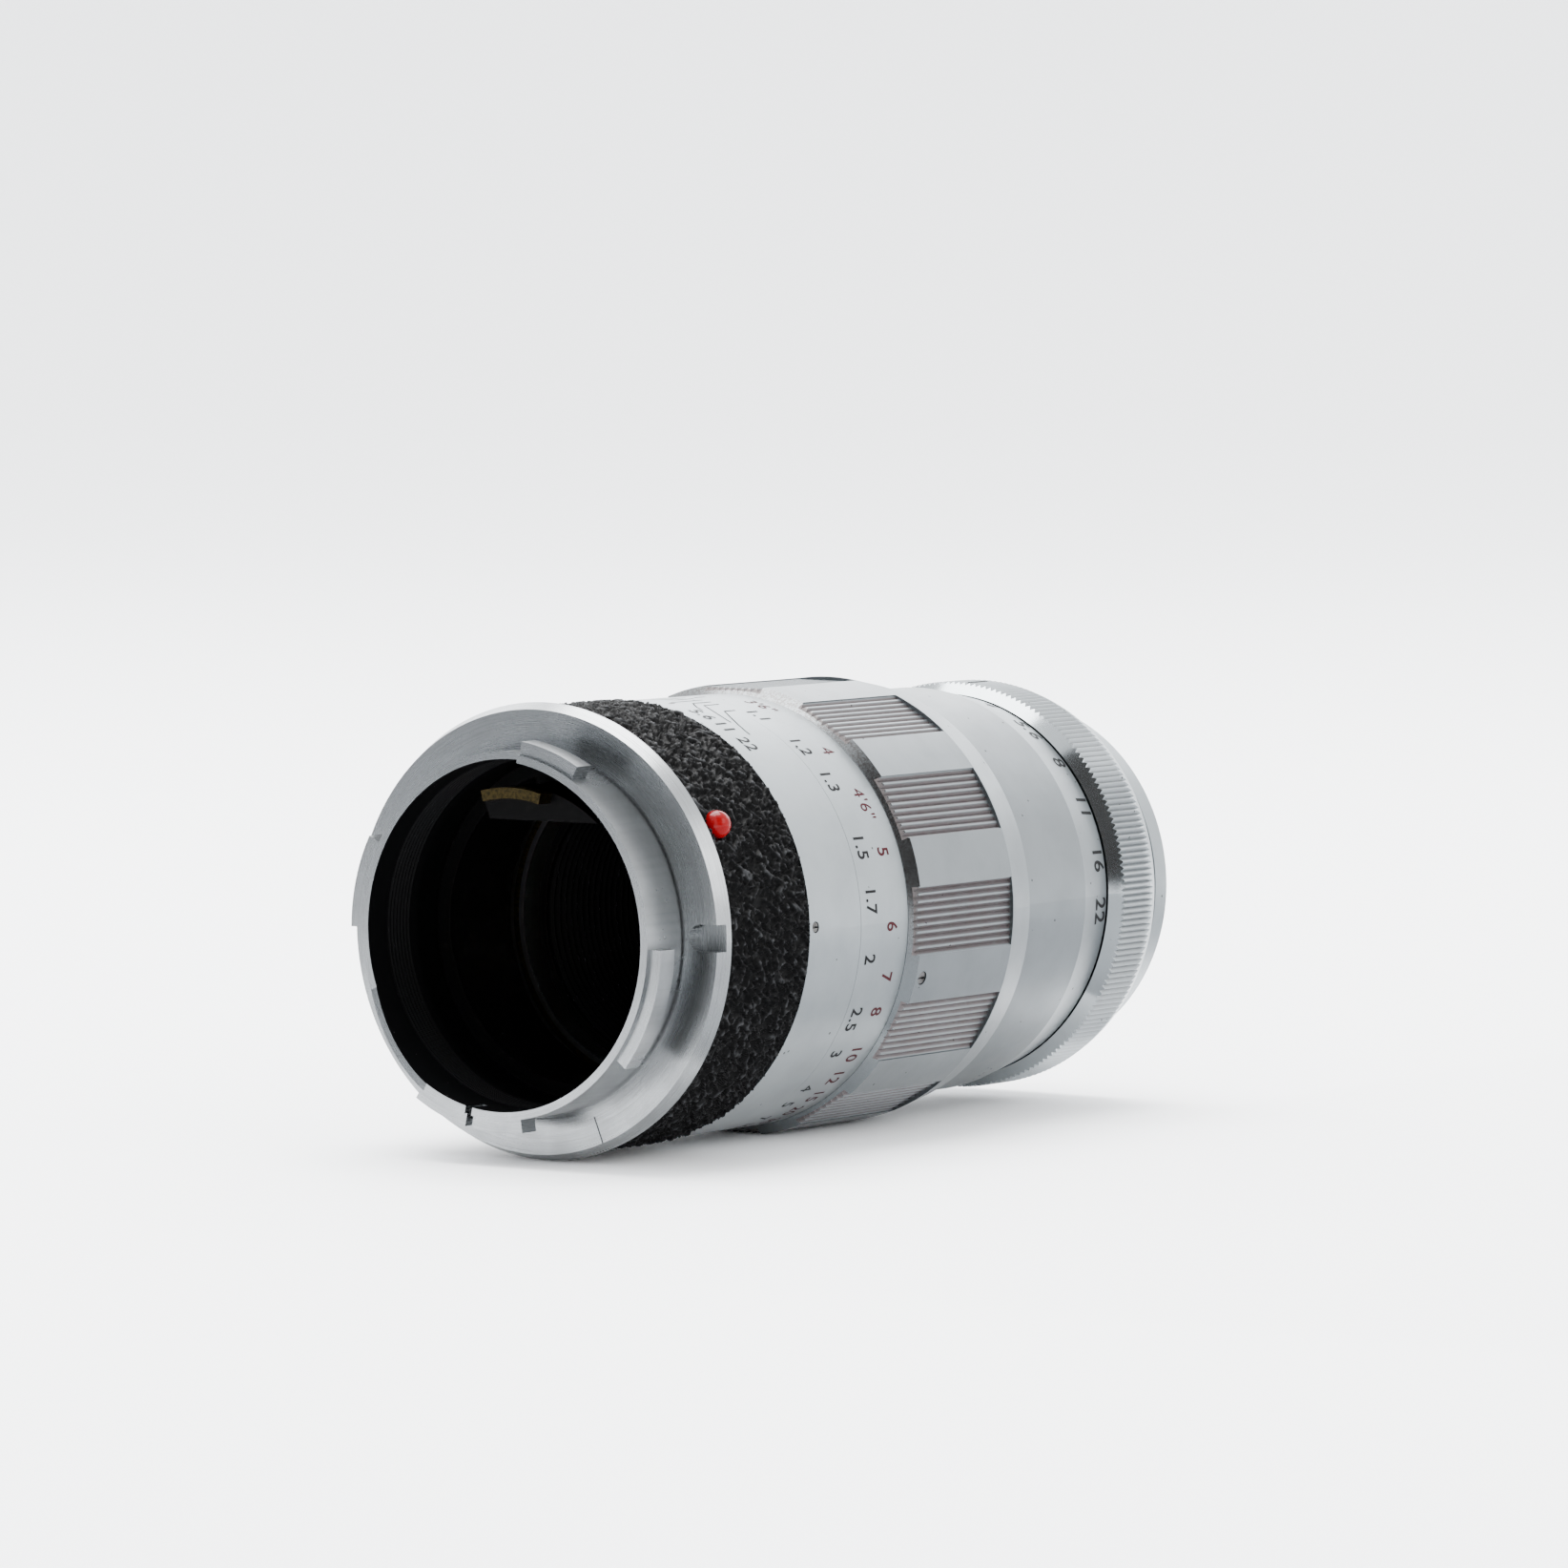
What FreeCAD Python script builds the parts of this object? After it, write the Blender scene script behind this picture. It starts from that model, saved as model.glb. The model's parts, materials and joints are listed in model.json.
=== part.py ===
"""Prime camera lens with a bayonet mount, a rotating focus ring and a sliding head.

The optical axis is +Y, from the camera side to the front, and +Z is up. The origin is the
centre of the flange's seating face. Millimetres and degrees. An angle about the axis is
counted from +X towards +Z. The model stands at its rest pose: focused close to its near
stop, with the iris wide open.
"""

import FreeCAD, Part

import math
import os

import Sketcher

SIZES = {
    # bayonet and flange
    "bore_radius": 19.4,
    "spigot_radius": 20.3,
    "spigot_length": 7.0,
    "spigot_low_length": 4.8,
    "relief_radius": 20.75,
    "relief_depth": 0.3,
    "seat_radius": 24.7,
    "flange_radius": 25.43,
    "flange_thickness": 1.7,
    "register_radius": 21.0,
    "register_length": 2.3,
    "lug_radius": 21.8,
    "lug_thickness": 2.6,
    "lug_recess": 0.5,
    "lock_pocket_width": 3.0,
    "lock_pocket_depth": 1.1,
    "lock_pocket_orbit": 22.4,
    "lock_pocket_angle": 1.0,
    "lug_split_angle": -101.5,
    "lug_split_width": 0.9,
    "lug_split_end": -4.0,
    "scribed_inner": 21.6,
    "scribed_width": 0.18,
    "scribed_depth": 0.15,
    "scribed_angle": -67.9,
    "baffle_start": -1.4,
    "baffle_depth": 0.3,
    "baffle_pitch": 0.6,
    # fixed tube, skin and depth scale
    "barrel_radius": 24.2,
    "scale_seat_radius": 23.4,
    "skin_radius": 25.05,
    "skin_end": 17.8,
    "scale_ring_radius": 24.73,
    "fixed_end": 27.9,
    "counterbore_radius": 20.8,
    "counterbore_start": 22.0,
    "bead_radius": 1.6,
    "bead_station": 4.5,
    "bead_angle": 30.3,
    "skin_hole_radius": 0.5,
    "skin_hole_station": 10.7,
    "skin_hole_angle": 68.8,
    "scale_screw_radius": 0.55,
    "scale_screw_station": 18.95,
    "scale_screw_angle": 1.0,
    "screw_slot": 0.22,
    "screw_sink_width": 0.1,
    "screw_sink_depth": 0.45,
    # focusing helicoid and its retainers
    "helicoid_bore": 17.45,
    "helicoid_radius": 19.3,
    "helicoid_start": 21.7,
    "helicoid_end": 47.5,
    "collar_radius": 20.6,
    "collar_start": 22.2,
    "collar_end": 23.9,
    "retainer_start": 24.1,
    "retainer_end": 26.3,
    "stop_start": 26.5,
    "stop_end": 27.8,
    "stop_pin_radius": 0.6,
    "stop_pin_angle": 150.0,
    "running_gap": 0.1,
    # focus ring
    "drum_radius": 21.5,
    "drum_start": 28.3,
    "distance_start": 28.0,
    "distance_end": 37.35,
    "distance_radius": 24.7,
    "grip_start": 37.45,
    "grip_bevel_end": 38.6,
    "grip_radius": 25.8,
    "grip_taper": 57.4,
    "grip_end": 61.9,
    "grip_lip_radius": 25.04,
    "grip_bore": 23.79,
    "grip_web_end": 40.4,
    "groove_end": 57.3,
    "groove_pitch": 0.865,
    "groove_depth": 0.42,
    "groove_half_width": 0.33,
    "flat_inset": 0.12,
    "grip_groups": 12,
    "grooves_per_group": 9,
    "grip_first_angle": -0.4,
    "grip_screw_radius": 0.7,
    "grip_screw_station": 39.9,
    "grip_screw_angle": -15.1,
    # travel
    "focus_to_infinity": 169.9,
    "focus_to_near": 4.7,
    "aperture_travel": 96.0,
    # sliding head
    "head_bore": 16.4,
    "head_radius": 17.35,
    "head_start": 24.6,
    "head_flange_start": 58.0,
    "head_flange_end": 61.0,
    "rib_pitch": 1.1,
    "rib_depth": 0.45,
    "barrel_bore": 22.3,
    "front_barrel_start": 52.0,
    "front_barrel_radius": 23.7,
    "number_cone_start": 75.8,
    "number_cone_radius": 22.6,
    "front_barrel_end": 82.0,
    "web_start": 79.5,
    "cell_radius": 19.6,
    "barrel_screw_radius": 0.6,
    "barrel_screw_station": 59.5,
    "barrel_screw_angle": 40.0,
    "barrel_screw_inner": 20.4,
    # guide key
    "key_width": 5.0,
    "key_inner": 16.6,
    "key_outer": 17.2,
    "key_foot_start": 19.7,
    "key_foot_end": 21.4,
    "key_end": 38.0,
    "key_angle": -90.0,
    "key_shank_radius": 0.6,
    "key_shank_inner": 17.4,
    "key_head_radius": 1.1,
    "key_head_inner": 22.5,
    "key_head_outer": 23.3,
    # rangefinder slide
    "slide_radius": 19.32,
    "slide_bore": 17.6,
    "slide_start": 8.0,
    "slide_end": 19.0,
    "arm_radius": 16.3,
    "arm_chord": 12.6,
    "arm_start": -2.4,
    "arm_end": 11.0,
    "arm_middle": 78.0,
    "arm_half_angle": 31.0,
    "arm_chord_angle": 90.0,
    "cam_inner": 15.1,
    "cam_start": -4.6,
    "cam_low_angle": 75.0,
    "cam_high_angle": 104.0,
    # iris
    "housing_bore": 21.2,
    "plate_start": 71.0,
    "plate_end": 72.0,
    "housing_end": 77.5,
    "iris_radius": 13.35,
    "blade_outer": 18.4,
    "blade_start": 72.3,
    "blade_pitch": 0.22,
    "blade_thickness": 0.1,
    "blade_pivot_orbit": 19.5,
    "blade_pin_radius": 0.45,
    "blade_pin_gap": 0.05,
    "blade_span": 104.0,
    "blade_ear_radius": 1.1,
    "rotor_start": 75.2,
    "rotor_end": 76.0,
    "rotor_radius": 21.12,
    "drive_orbit": 20.4,
    "drive_radius": 0.4,
    "drive_end": 84.0,
    "drive_angle": 200.0,
    # aperture ring
    "aperture_bore": 19.66,
    "aperture_start": 82.3,
    "aperture_rear_radius": 22.7,
    "knurl_start": 83.9,
    "knurl_radius": 24.0,
    "knurl_depth": 0.3,
    "knurl_end": 89.4,
    "shoulder_radius": 23.55,
    "shoulder_station": 91.0,
    "aperture_front_radius": 22.6,
    "aperture_end": 92.3,
    "knurl_teeth": 204,
    # front rim and cells
    "rim_start": 92.6,
    "neck_radius": 20.5,
    "neck_end": 95.1,
    "rim_radius": 21.0,
    "rim_chamfer": 0.3,
    "lens_end": 98.0,
    "filter_thread_radius": 19.25,
    "cell_start": 76.3,
    "cell_end": 93.6,
    "trim_radius": 18.6,
    "trim_seat": 90.6,
    "front_seat_radius": 17.45,
    "front_seat": 86.0,
    "ledge_radius": 14.8,
    "middle_seat": 84.4,
    "middle_seat_radius": 15.6,
    "middle_retainer_bore": 13.8,
    "middle_retainer_start": 76.8,
    "middle_retainer_end": 78.4,
    "rear_cell_start": 59.5,
    "rear_cell_radius": 15.4,
    "rear_seat_radius": 13.1,
    "rear_seat": 69.4,
    "rear_flange_start": 69.6,
    "rear_flange_radius": 19.0,
    "rear_retainer_bore": 11.8,
    "rear_retainer_start": 62.2,
    "rear_retainer_end": 63.8,
    "rear_screw_orbit": 17.3,
    "rear_screw_radius": 0.5,
    "rear_screw_head_radius": 1.0,
    "rear_screw_head": 0.7,
    "rear_screw_end": 71.7,
}

IRIS_BLADES = 10
SCREWS_PER_RING = 3
RIGHT_LUGS = ((61.0, 82.0), (-39.0, -1.5), (-122.0, -82.0))
LEFT_LUG = (152.0, 180.0)
LOWERED_HALF = (82.0, 200.0)
LOWERED_RAMP = (200.0, 240.0)


class Size:
    """A length or an angle: its number, and the sheet formula that it is bound to."""

    def __init__(self, value, formula):
        self.value = float(value)
        self.formula = formula

    def __add__(self, other):
        other = as_size(other)
        return Size(self.value + other.value, f"({self.formula} + {other.formula})")

    def __sub__(self, other):
        other = as_size(other)
        return Size(self.value - other.value, f"({self.formula} - {other.formula})")

    def __mul__(self, other):
        other = as_size(other)
        return Size(self.value * other.value, f"({self.formula} * {other.formula})")

    def __neg__(self):
        return Size(-self.value, f"(0 - {self.formula})")


def as_size(value):
    """A plain number counts as a size with itself as its formula."""
    if isinstance(value, Size):
        return value
    return Size(value, repr(float(value)) if value >= 0 else f"(0 - {abs(float(value))!r})")


class Sheet:
    """The spreadsheet of driving dimensions; an attribute gives the Size of a cell."""

    def __init__(self, document, sizes):
        self.cells = document.addObject("Spreadsheet::Sheet", "Sizes")
        self.sizes = sizes
        for row, (name, value) in enumerate(sizes.items(), start=1):
            self.cells.set(f"A{row}", name)
            self.cells.set(f"B{row}", str(value))
            self.cells.setAlias(f"B{row}", name)
        document.recompute()

    def __getattr__(self, name):
        return Size(self.sizes[name], f"Sizes.{name}")


doc = FreeCAD.newDocument("Lens")
s = Sheet(doc, SIZES)
subparts = []

UP_THE_AXIS = FreeCAD.Rotation(FreeCAD.Vector(1, 0, 0), -90)
AXIS = FreeCAD.Vector(0, 1, 0)


# ---------------------------------------------------------------- building blocks


def bind(item, **properties):
    """Bind an object's properties to their sheet formulas."""
    for name, size in properties.items():
        size = as_size(size)
        setattr(item, name, size.value)
        item.setExpression(name, size.formula)


def about_axis(angle):
    """The turn about the optical axis that carries +X to this angle."""
    return FreeCAD.Rotation(AXIS, -as_size(angle).value)


def at_angle(radius, station, angle, across=0.0):
    """A point at this radius, station and angle, moved across the radius."""
    local = FreeCAD.Vector(as_size(radius).value, as_size(station).value, across)
    return about_axis(angle).multVec(local)


def keep(label, item):
    """Name a finished sub-part."""
    item.Label = label
    subparts.append(item)
    return item


def origin_plane(body, role):
    """One of a body's own origin planes or axes."""
    return next(feature for feature in body.Origin.OriginFeatures if feature.Role == role)


def outline_sketch(body, name, outline):
    """A closed outline of (radius, station) points on the body's XY plane, every point dimensioned."""
    sketch = body.newObject("Sketcher::SketchObject", name)
    sketch.AttachmentSupport = [(origin_plane(body, "XY_Plane"), "")]
    sketch.MapMode = "FlatFace"
    points = [(as_size(radius), as_size(station)) for radius, station in outline]
    corners = [FreeCAD.Vector(radius.value, station.value, 0) for radius, station in points]
    for index, corner in enumerate(corners):
        sketch.addGeometry(Part.LineSegment(corner, corners[(index + 1) % len(corners)]), False)
    for index in range(len(corners)):
        following = (index + 1) % len(corners)
        sketch.addConstraint(Sketcher.Constraint("Coincident", index, 2, following, 1))
    for index, (radius, station) in enumerate(points):
        across = sketch.addConstraint(Sketcher.Constraint("DistanceX", -1, 1, index, 1, radius.value))
        along = sketch.addConstraint(Sketcher.Constraint("DistanceY", -1, 1, index, 1, station.value))
        sketch.setExpression(f"Constraints[{across}]", radius.formula)
        sketch.setExpression(f"Constraints[{along}]", station.formula)
    return sketch


def turned(name, outline):
    """A body turned on the lathe: the outline revolved about the optical axis."""
    body = doc.addObject("PartDesign::Body", name)
    sketch = outline_sketch(body, name + "_outline", outline)
    revolution = body.newObject("PartDesign::Revolution", name + "_turned")
    revolution.Profile = sketch
    revolution.ReferenceAxis = (sketch, ["V_Axis"])
    revolution.Angle = 360.0
    doc.recompute()
    return body


def grooved(body, name, radius, depth, start, pitch, count):
    """Cut a row of small V grooves into a body's bore, one groove patterned along the axis."""
    before = body.Shape.Volume
    outline = [
        (radius - 0.05, start),
        (radius + depth, start + pitch * 0.5),
        (radius - 0.05, start + pitch * 0.9),
    ]
    sketch = outline_sketch(body, name + "_outline", outline)
    groove = body.newObject("PartDesign::Groove", name + "_first")
    groove.Profile = sketch
    groove.ReferenceAxis = (sketch, ["V_Axis"])
    groove.Angle = 360.0
    doc.recompute()
    pattern = body.newObject("PartDesign::LinearPattern", name)
    pattern.Originals = [groove]
    pattern.Direction = (sketch, ["V_Axis"])
    pattern.Length = pitch.value * (count - 1)
    pattern.setExpression("Length", f"{pitch.formula} * {count - 1}")
    pattern.Occurrences = count
    body.Tip = pattern
    doc.recompute()
    if body.Shape.Volume >= before:
        raise RuntimeError(f"{name} cut nothing")
    return body


def cylinder(name, radius, start, end, sector=None):
    """A cylinder on the axis between two stations, or only the sector between two angles."""
    item = doc.addObject("Part::Cylinder", name)
    bind(item, Radius=radius, Height=as_size(end) - start)
    low, high = (0.0, 360.0) if sector is None else sector
    if sector is not None:
        item.Angle = as_size(high).value - as_size(low).value
    base = FreeCAD.Vector(0, as_size(start).value, 0)
    item.Placement = FreeCAD.Placement(base, about_axis(high).multiply(UP_THE_AXIS))
    return item


def ring(name, inner, outer, start, end, sector=None):
    """A plain ring, or a sector of one."""
    return cut(
        name,
        cylinder(name + "_outer", outer, start, end, sector),
        cylinder(name + "_inner", inner, start, end),
    )


def radial_block(name, inner, outer, start, end, width, angle):
    """A block that runs outwards along a radius."""
    item = doc.addObject("Part::Box", name)
    bind(item, Length=as_size(outer) - inner, Width=as_size(end) - start, Height=width)
    base = at_angle(inner, start, angle, -as_size(width).value / 2)
    item.Placement = FreeCAD.Placement(base, about_axis(angle))
    return item


def sloping_block(name, inner, outer, station, half_length, slope, angle):
    """A block on the rear side of a plane that crosses this station and slopes along the rim."""
    item = doc.addObject("Part::Box", name)
    depth = 5.0
    bind(item, Length=as_size(outer) - inner, Width=depth, Height=half_length * 2.0)
    lean = FreeCAD.Rotation(FreeCAD.Vector(1, 0, 0), slope)
    corner = lean.multVec(FreeCAD.Vector(as_size(inner).value, -depth, -half_length))
    corner = corner + FreeCAD.Vector(0, as_size(station).value, 0)
    turn = about_axis(angle)
    item.Placement = FreeCAD.Placement(turn.multVec(corner), turn.multiply(lean))
    return item


def radial_rod(name, radius, inner, outer, station, angle):
    """A round rod along a radius."""
    item = doc.addObject("Part::Cylinder", name)
    bind(item, Radius=radius, Height=as_size(outer) - inner)
    outwards = FreeCAD.Rotation(AXIS, 90)
    base = at_angle(inner, station, angle)
    item.Placement = FreeCAD.Placement(base, about_axis(angle).multiply(outwards))
    return item


def axial_rod(name, radius, orbit, start, end, angle):
    """A round rod parallel to the axis, at a distance from it."""
    item = doc.addObject("Part::Cylinder", name)
    bind(item, Radius=radius, Height=as_size(end) - start)
    item.Placement = FreeCAD.Placement(at_angle(orbit, start, angle), UP_THE_AXIS)
    return item


def cut(name, base, tool):
    """One shape with another taken away."""
    item = doc.addObject("Part::Cut", name)
    item.Base = base
    item.Tool = tool
    return item


def cut_all(name, base, tools):
    """One shape with each tool taken away in turn."""
    for index, tool in enumerate(tools):
        base = cut(f"{name}_cut_{index}", base, tool)
    return base


def fuse(name, shapes):
    """Several shapes joined into one solid."""
    item = doc.addObject("Part::MultiFuse", name)
    item.Shapes = shapes
    return item


def group(name, shapes):
    """Separate solids that share one node."""
    item = doc.addObject("Part::Compound", name)
    item.Links = shapes
    return item


def common(name, shapes):
    """What several shapes share."""
    item = doc.addObject("Part::MultiCommon", name)
    item.Shapes = shapes
    return item


def around(first_angle, count):
    """Evenly spaced angles about the axis."""
    return [as_size(first_angle).value + 360.0 * index / count for index in range(count)]


def slotted_screws(name, radius, inner, outer, station, first_angle):
    """Radial screws evenly spaced about the axis, each with a screwdriver slot in its head."""
    screws = []
    for index, angle in enumerate(around(first_angle, SCREWS_PER_RING)):
        rod = radial_rod(f"{name}_rod_{index}", radius, inner, outer, station, angle)
        slot = radial_block(
            f"{name}_slot_{index}",
            as_size(outer) - 0.3,
            as_size(outer) + 0.3,
            as_size(station) - as_size(radius) - 0.1,
            as_size(station) + radius + 0.1,
            s.screw_slot,
            angle,
        )
        screws.append(cut(f"{name}_{index}", rod, slot))
    return group(name, screws)


def screw_holes(name, radius, inner, outer, station, first_angle):
    """The holes that a set of radial screws sits in."""
    rods = []
    for index, angle in enumerate(around(first_angle, SCREWS_PER_RING)):
        rods.append(radial_rod(f"{name}_{index}", radius, inner, outer, station, angle))
    return group(name, rods)


def screw_sinks(name, radius, surface, station, first_angle):
    """The shallow recesses, a little wider than the heads, that the screws are sunk in."""
    inner = as_size(surface) - s.screw_sink_depth
    outer = as_size(surface) + 1.0
    return screw_holes(name, radius + s.screw_sink_width, inner, outer, station, first_angle)


# ---------------------------------------------------------------- the fixed mount


def make_bayonet_mount():
    """Flange, register and a spigot whose rear edge is lower on one half, with four lugs."""
    blank = turned(
        "bayonet_blank",
        [
            (s.bore_radius, -s.spigot_length),
            (s.spigot_radius, -s.spigot_length),
            (s.spigot_radius, s.relief_depth),
            (s.relief_radius, s.relief_depth),
            (s.relief_radius, 0.0),
            (s.seat_radius, 0.0),
            (s.flange_radius, s.flange_thickness),
            (s.register_radius, s.flange_thickness),
            (s.register_radius, s.flange_thickness + s.register_length),
            (s.bore_radius, s.flange_thickness + s.register_length),
        ],
    )
    grooved(blank, "bore_baffles", s.bore_radius, s.baffle_depth, s.baffle_start, s.baffle_pitch, 7)
    lugs = []
    lug_rear = -(s.spigot_length - s.lug_recess)
    for index, sector in enumerate(RIGHT_LUGS):
        name = f"lug_{index}"
        lugs.append(ring(name, s.spigot_radius, s.lug_radius, lug_rear, lug_rear + s.lug_thickness, sector))
    low_rear = -s.spigot_low_length
    lugs.append(
        ring("low_lug", s.spigot_radius, s.lug_radius, low_rear, low_rear + s.lug_thickness, LEFT_LUG)
    )
    spigot = fuse("bayonet_with_lugs", [blank] + lugs)
    above = -s.spigot_length - 0.1
    lowered = ring(
        "lowered_half", s.bore_radius - 0.5, s.lug_radius + 0.5, above, low_rear, LOWERED_HALF
    )
    low, high = LOWERED_RAMP
    half_length = s.spigot_radius.value * math.sin(math.radians(high - low) / 2)
    rise = (s.spigot_length - s.spigot_low_length).value
    slope = math.degrees(math.atan(rise / (2 * half_length)))
    ramp = common(
        "lowered_ramp",
        [
            ring("ramp_ring", s.bore_radius - 0.5, s.lug_radius + 0.5, above, low_rear, LOWERED_RAMP),
            sloping_block(
                "ramp_block",
                s.bore_radius - 5.0,
                s.lug_radius + 3.0,
                (low_rear - s.spigot_length) * 0.5,
                half_length + 2.0,
                slope,
                (low + high) / 2,
            ),
        ],
    )
    split = radial_block(
        "lug_split",
        s.bore_radius - 0.5,
        s.lug_radius + 0.5,
        above,
        s.lug_split_end,
        s.lug_split_width,
        s.lug_split_angle,
    )
    half = s.lock_pocket_width * 0.5
    pocket = fuse(
        "lock_pocket",
        [
            radial_block(
                "lock_pocket_block",
                s.lock_pocket_orbit,
                s.flange_radius + 0.1,
                -0.5,
                s.lock_pocket_depth,
                s.lock_pocket_width,
                s.lock_pocket_angle,
            ),
            axial_rod(
                "lock_pocket_round",
                half,
                s.lock_pocket_orbit,
                -0.5,
                s.lock_pocket_depth,
                s.lock_pocket_angle,
            ),
        ],
    )
    scribed = radial_block(
        "scribed_line",
        s.scribed_inner,
        s.seat_radius,
        -0.1,
        s.scribed_depth,
        s.scribed_width,
        s.scribed_angle,
    )
    keep("bayonet_mount", cut_all("bayonet", spigot, [lowered, ramp, split, pocket, scribed]))


def make_mount_barrel():
    """The fixed tube that everything at the rear is fastened to."""
    register_end = s.flange_thickness + s.register_length
    blank = turned(
        "mount_barrel_blank",
        [
            (s.register_radius, s.flange_thickness),
            (s.barrel_radius, s.flange_thickness),
            (s.barrel_radius, s.skin_end),
            (s.scale_seat_radius, s.skin_end),
            (s.scale_seat_radius, s.fixed_end),
            (s.counterbore_radius, s.fixed_end),
            (s.counterbore_radius, s.counterbore_start),
            (s.bore_radius, s.counterbore_start),
            (s.bore_radius, register_end),
            (s.register_radius, register_end),
        ],
    )
    scale_holes = screw_holes(
        "mount_barrel_scale_holes",
        s.scale_screw_radius,
        22.2,
        25.5,
        s.scale_screw_station,
        s.scale_screw_angle,
    )
    key_middle = (s.key_foot_start + s.key_foot_end) * 0.5
    key_hole = fuse(
        "mount_barrel_key_hole",
        [
            radial_rod("key_shank_hole", s.key_shank_radius, 19.0, 24.0, key_middle, s.key_angle),
            radial_rod(
                "key_head_hole", s.key_head_radius, s.key_head_inner, 24.0, key_middle, s.key_angle
            ),
        ],
    )
    keep("mount_barrel", cut_all("mount_barrel_holes", blank, [scale_holes, key_hole]))


def make_covering_band():
    """The pebbled skin, with a seat for the bead and a small hole."""
    skin = ring("skin", s.barrel_radius, s.skin_radius, s.flange_thickness, s.skin_end)
    seat = radial_rod("skin_bead_seat", s.bead_radius, 23.5, 26.5, s.bead_station, s.bead_angle)
    hole = radial_rod(
        "skin_hole", s.skin_hole_radius, 23.5, 26.5, s.skin_hole_station, s.skin_hole_angle
    )
    keep("covering_band", cut_all("skin_cut", skin, [seat, hole]))


def make_index_bead():
    """The round glass bead that shows how to offer the lens to the camera."""
    bead = doc.addObject("Part::Sphere", "bead_ball")
    bind(bead, Radius=s.bead_radius)
    outwards = about_axis(s.bead_angle).multiply(FreeCAD.Rotation(AXIS, 90))
    centre = at_angle(s.barrel_radius + 0.65, s.bead_station, s.bead_angle)
    bead.Placement = FreeCAD.Placement(centre, outwards)
    above_seat = radial_block(
        "bead_above_seat",
        s.barrel_radius,
        s.barrel_radius + 4.0,
        s.bead_station - 3.0,
        s.bead_station + 3.0,
        6.0,
        s.bead_angle,
    )
    keep("index_bead", common("bead", [bead, above_seat]))


def make_depth_scale_ring():
    """The fixed ring with the depth-of-field scale, and the screws that hold it."""
    blank = ring("scale_ring", s.scale_seat_radius, s.scale_ring_radius, s.skin_end, s.fixed_end)
    place = (s.scale_screw_station, s.scale_screw_angle)
    holes = screw_holes("scale_ring_holes", s.scale_screw_radius, 22.2, 25.5, *place)
    sinks = screw_sinks("scale_ring_sinks", s.scale_screw_radius, s.scale_ring_radius, *place)
    keep("depth_scale_ring", cut_all("scale_ring_bored", blank, [holes, sinks]))
    outer = s.scale_ring_radius - 0.08
    keep("scale_ring_screws", slotted_screws("scale_screw", s.scale_screw_radius, 22.2, outer, *place))


def make_focus_retainers():
    """The ring that holds the helicoid in, and the stop that ends its turn."""
    bore = s.helicoid_radius + s.running_gap
    keep(
        "retaining_ring",
        ring("retainer", bore, s.counterbore_radius, s.retainer_start, s.retainer_end),
    )
    pin_reach = math.degrees(math.asin(s.stop_pin_radius.value / s.helicoid_radius.value)) + 0.3
    low = s.stop_pin_angle.value + s.focus_to_infinity.value + pin_reach
    high = s.stop_pin_angle.value + 360.0 - s.focus_to_near.value - pin_reach
    keep(
        "stop_segment",
        ring("stop", bore, s.counterbore_radius, s.stop_start, s.stop_end, (low, high)),
    )


def make_guide_key():
    """The straight key that lets the head slide and keeps it from turning."""
    foot = common(
        "key_foot",
        [
            cylinder("key_foot_limit", s.bore_radius, s.key_foot_start, s.key_foot_end),
            radial_block(
                "key_foot_block",
                s.key_inner,
                s.bore_radius + 1.0,
                s.key_foot_start,
                s.key_foot_end,
                s.key_width,
                s.key_angle,
            ),
        ],
    )
    half_angle = math.degrees(math.asin(s.key_width.value / 2 / s.key_outer.value))
    middle = s.key_angle.value
    finger = ring(
        "key_finger",
        s.key_inner,
        s.key_outer,
        s.key_foot_start,
        s.key_end,
        (middle - half_angle, middle + half_angle),
    )
    station = (s.key_foot_start + s.key_foot_end) * 0.5
    shank_place = (s.key_shank_radius, s.key_shank_inner)
    hole = radial_rod("key_thread", *shank_place, s.bore_radius + 0.6, station, s.key_angle)
    keep("guide_key", cut("key", fuse("key_body", [foot, finger]), hole))
    shank = radial_rod("key_screw_shank", *shank_place, s.key_head_inner + 0.1, station, s.key_angle)
    head_place = (s.key_head_radius, s.key_head_inner, s.key_head_outer)
    head = radial_rod("key_screw_head", *head_place, station, s.key_angle)
    slot = radial_block(
        "key_screw_slot",
        s.key_head_outer - 0.25,
        s.key_head_outer + 0.1,
        station - s.key_head_radius - 0.1,
        station + s.key_head_radius + 0.1,
        s.screw_slot,
        s.key_angle,
    )
    keep("guide_key_screw", cut("key_screw", fuse("key_screw_body", [shank, head]), slot))


# ---------------------------------------------------------------- the focus ring


def make_focusing_helicoid():
    """The brass tube that turns in the mount; its collar is trapped by the retaining ring."""
    blank = turned(
        "helicoid",
        [
            (s.helicoid_bore, s.helicoid_start),
            (s.helicoid_radius, s.helicoid_start),
            (s.helicoid_radius, s.collar_start),
            (s.collar_radius, s.collar_start),
            (s.collar_radius, s.collar_end),
            (s.helicoid_radius, s.collar_end),
            (s.helicoid_radius, s.drum_start),
            (s.drum_radius, s.drum_start),
            (s.drum_radius, s.grip_web_end),
            (s.helicoid_radius, s.grip_web_end),
            (s.helicoid_radius, s.helicoid_end),
            (s.helicoid_bore, s.helicoid_end),
        ],
    )
    station = (s.stop_start + s.stop_end) * 0.5
    pin_hole = radial_rod("stop_pin_hole", s.stop_pin_radius, 18.4, 20.6, station, s.stop_pin_angle)
    keep("focusing_helicoid", cut("helicoid_bored", blank, pin_hole))
    keep(
        "focus_stop_pin",
        radial_rod("stop_pin", s.stop_pin_radius, 18.4, 20.6, station, s.stop_pin_angle),
    )


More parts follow.
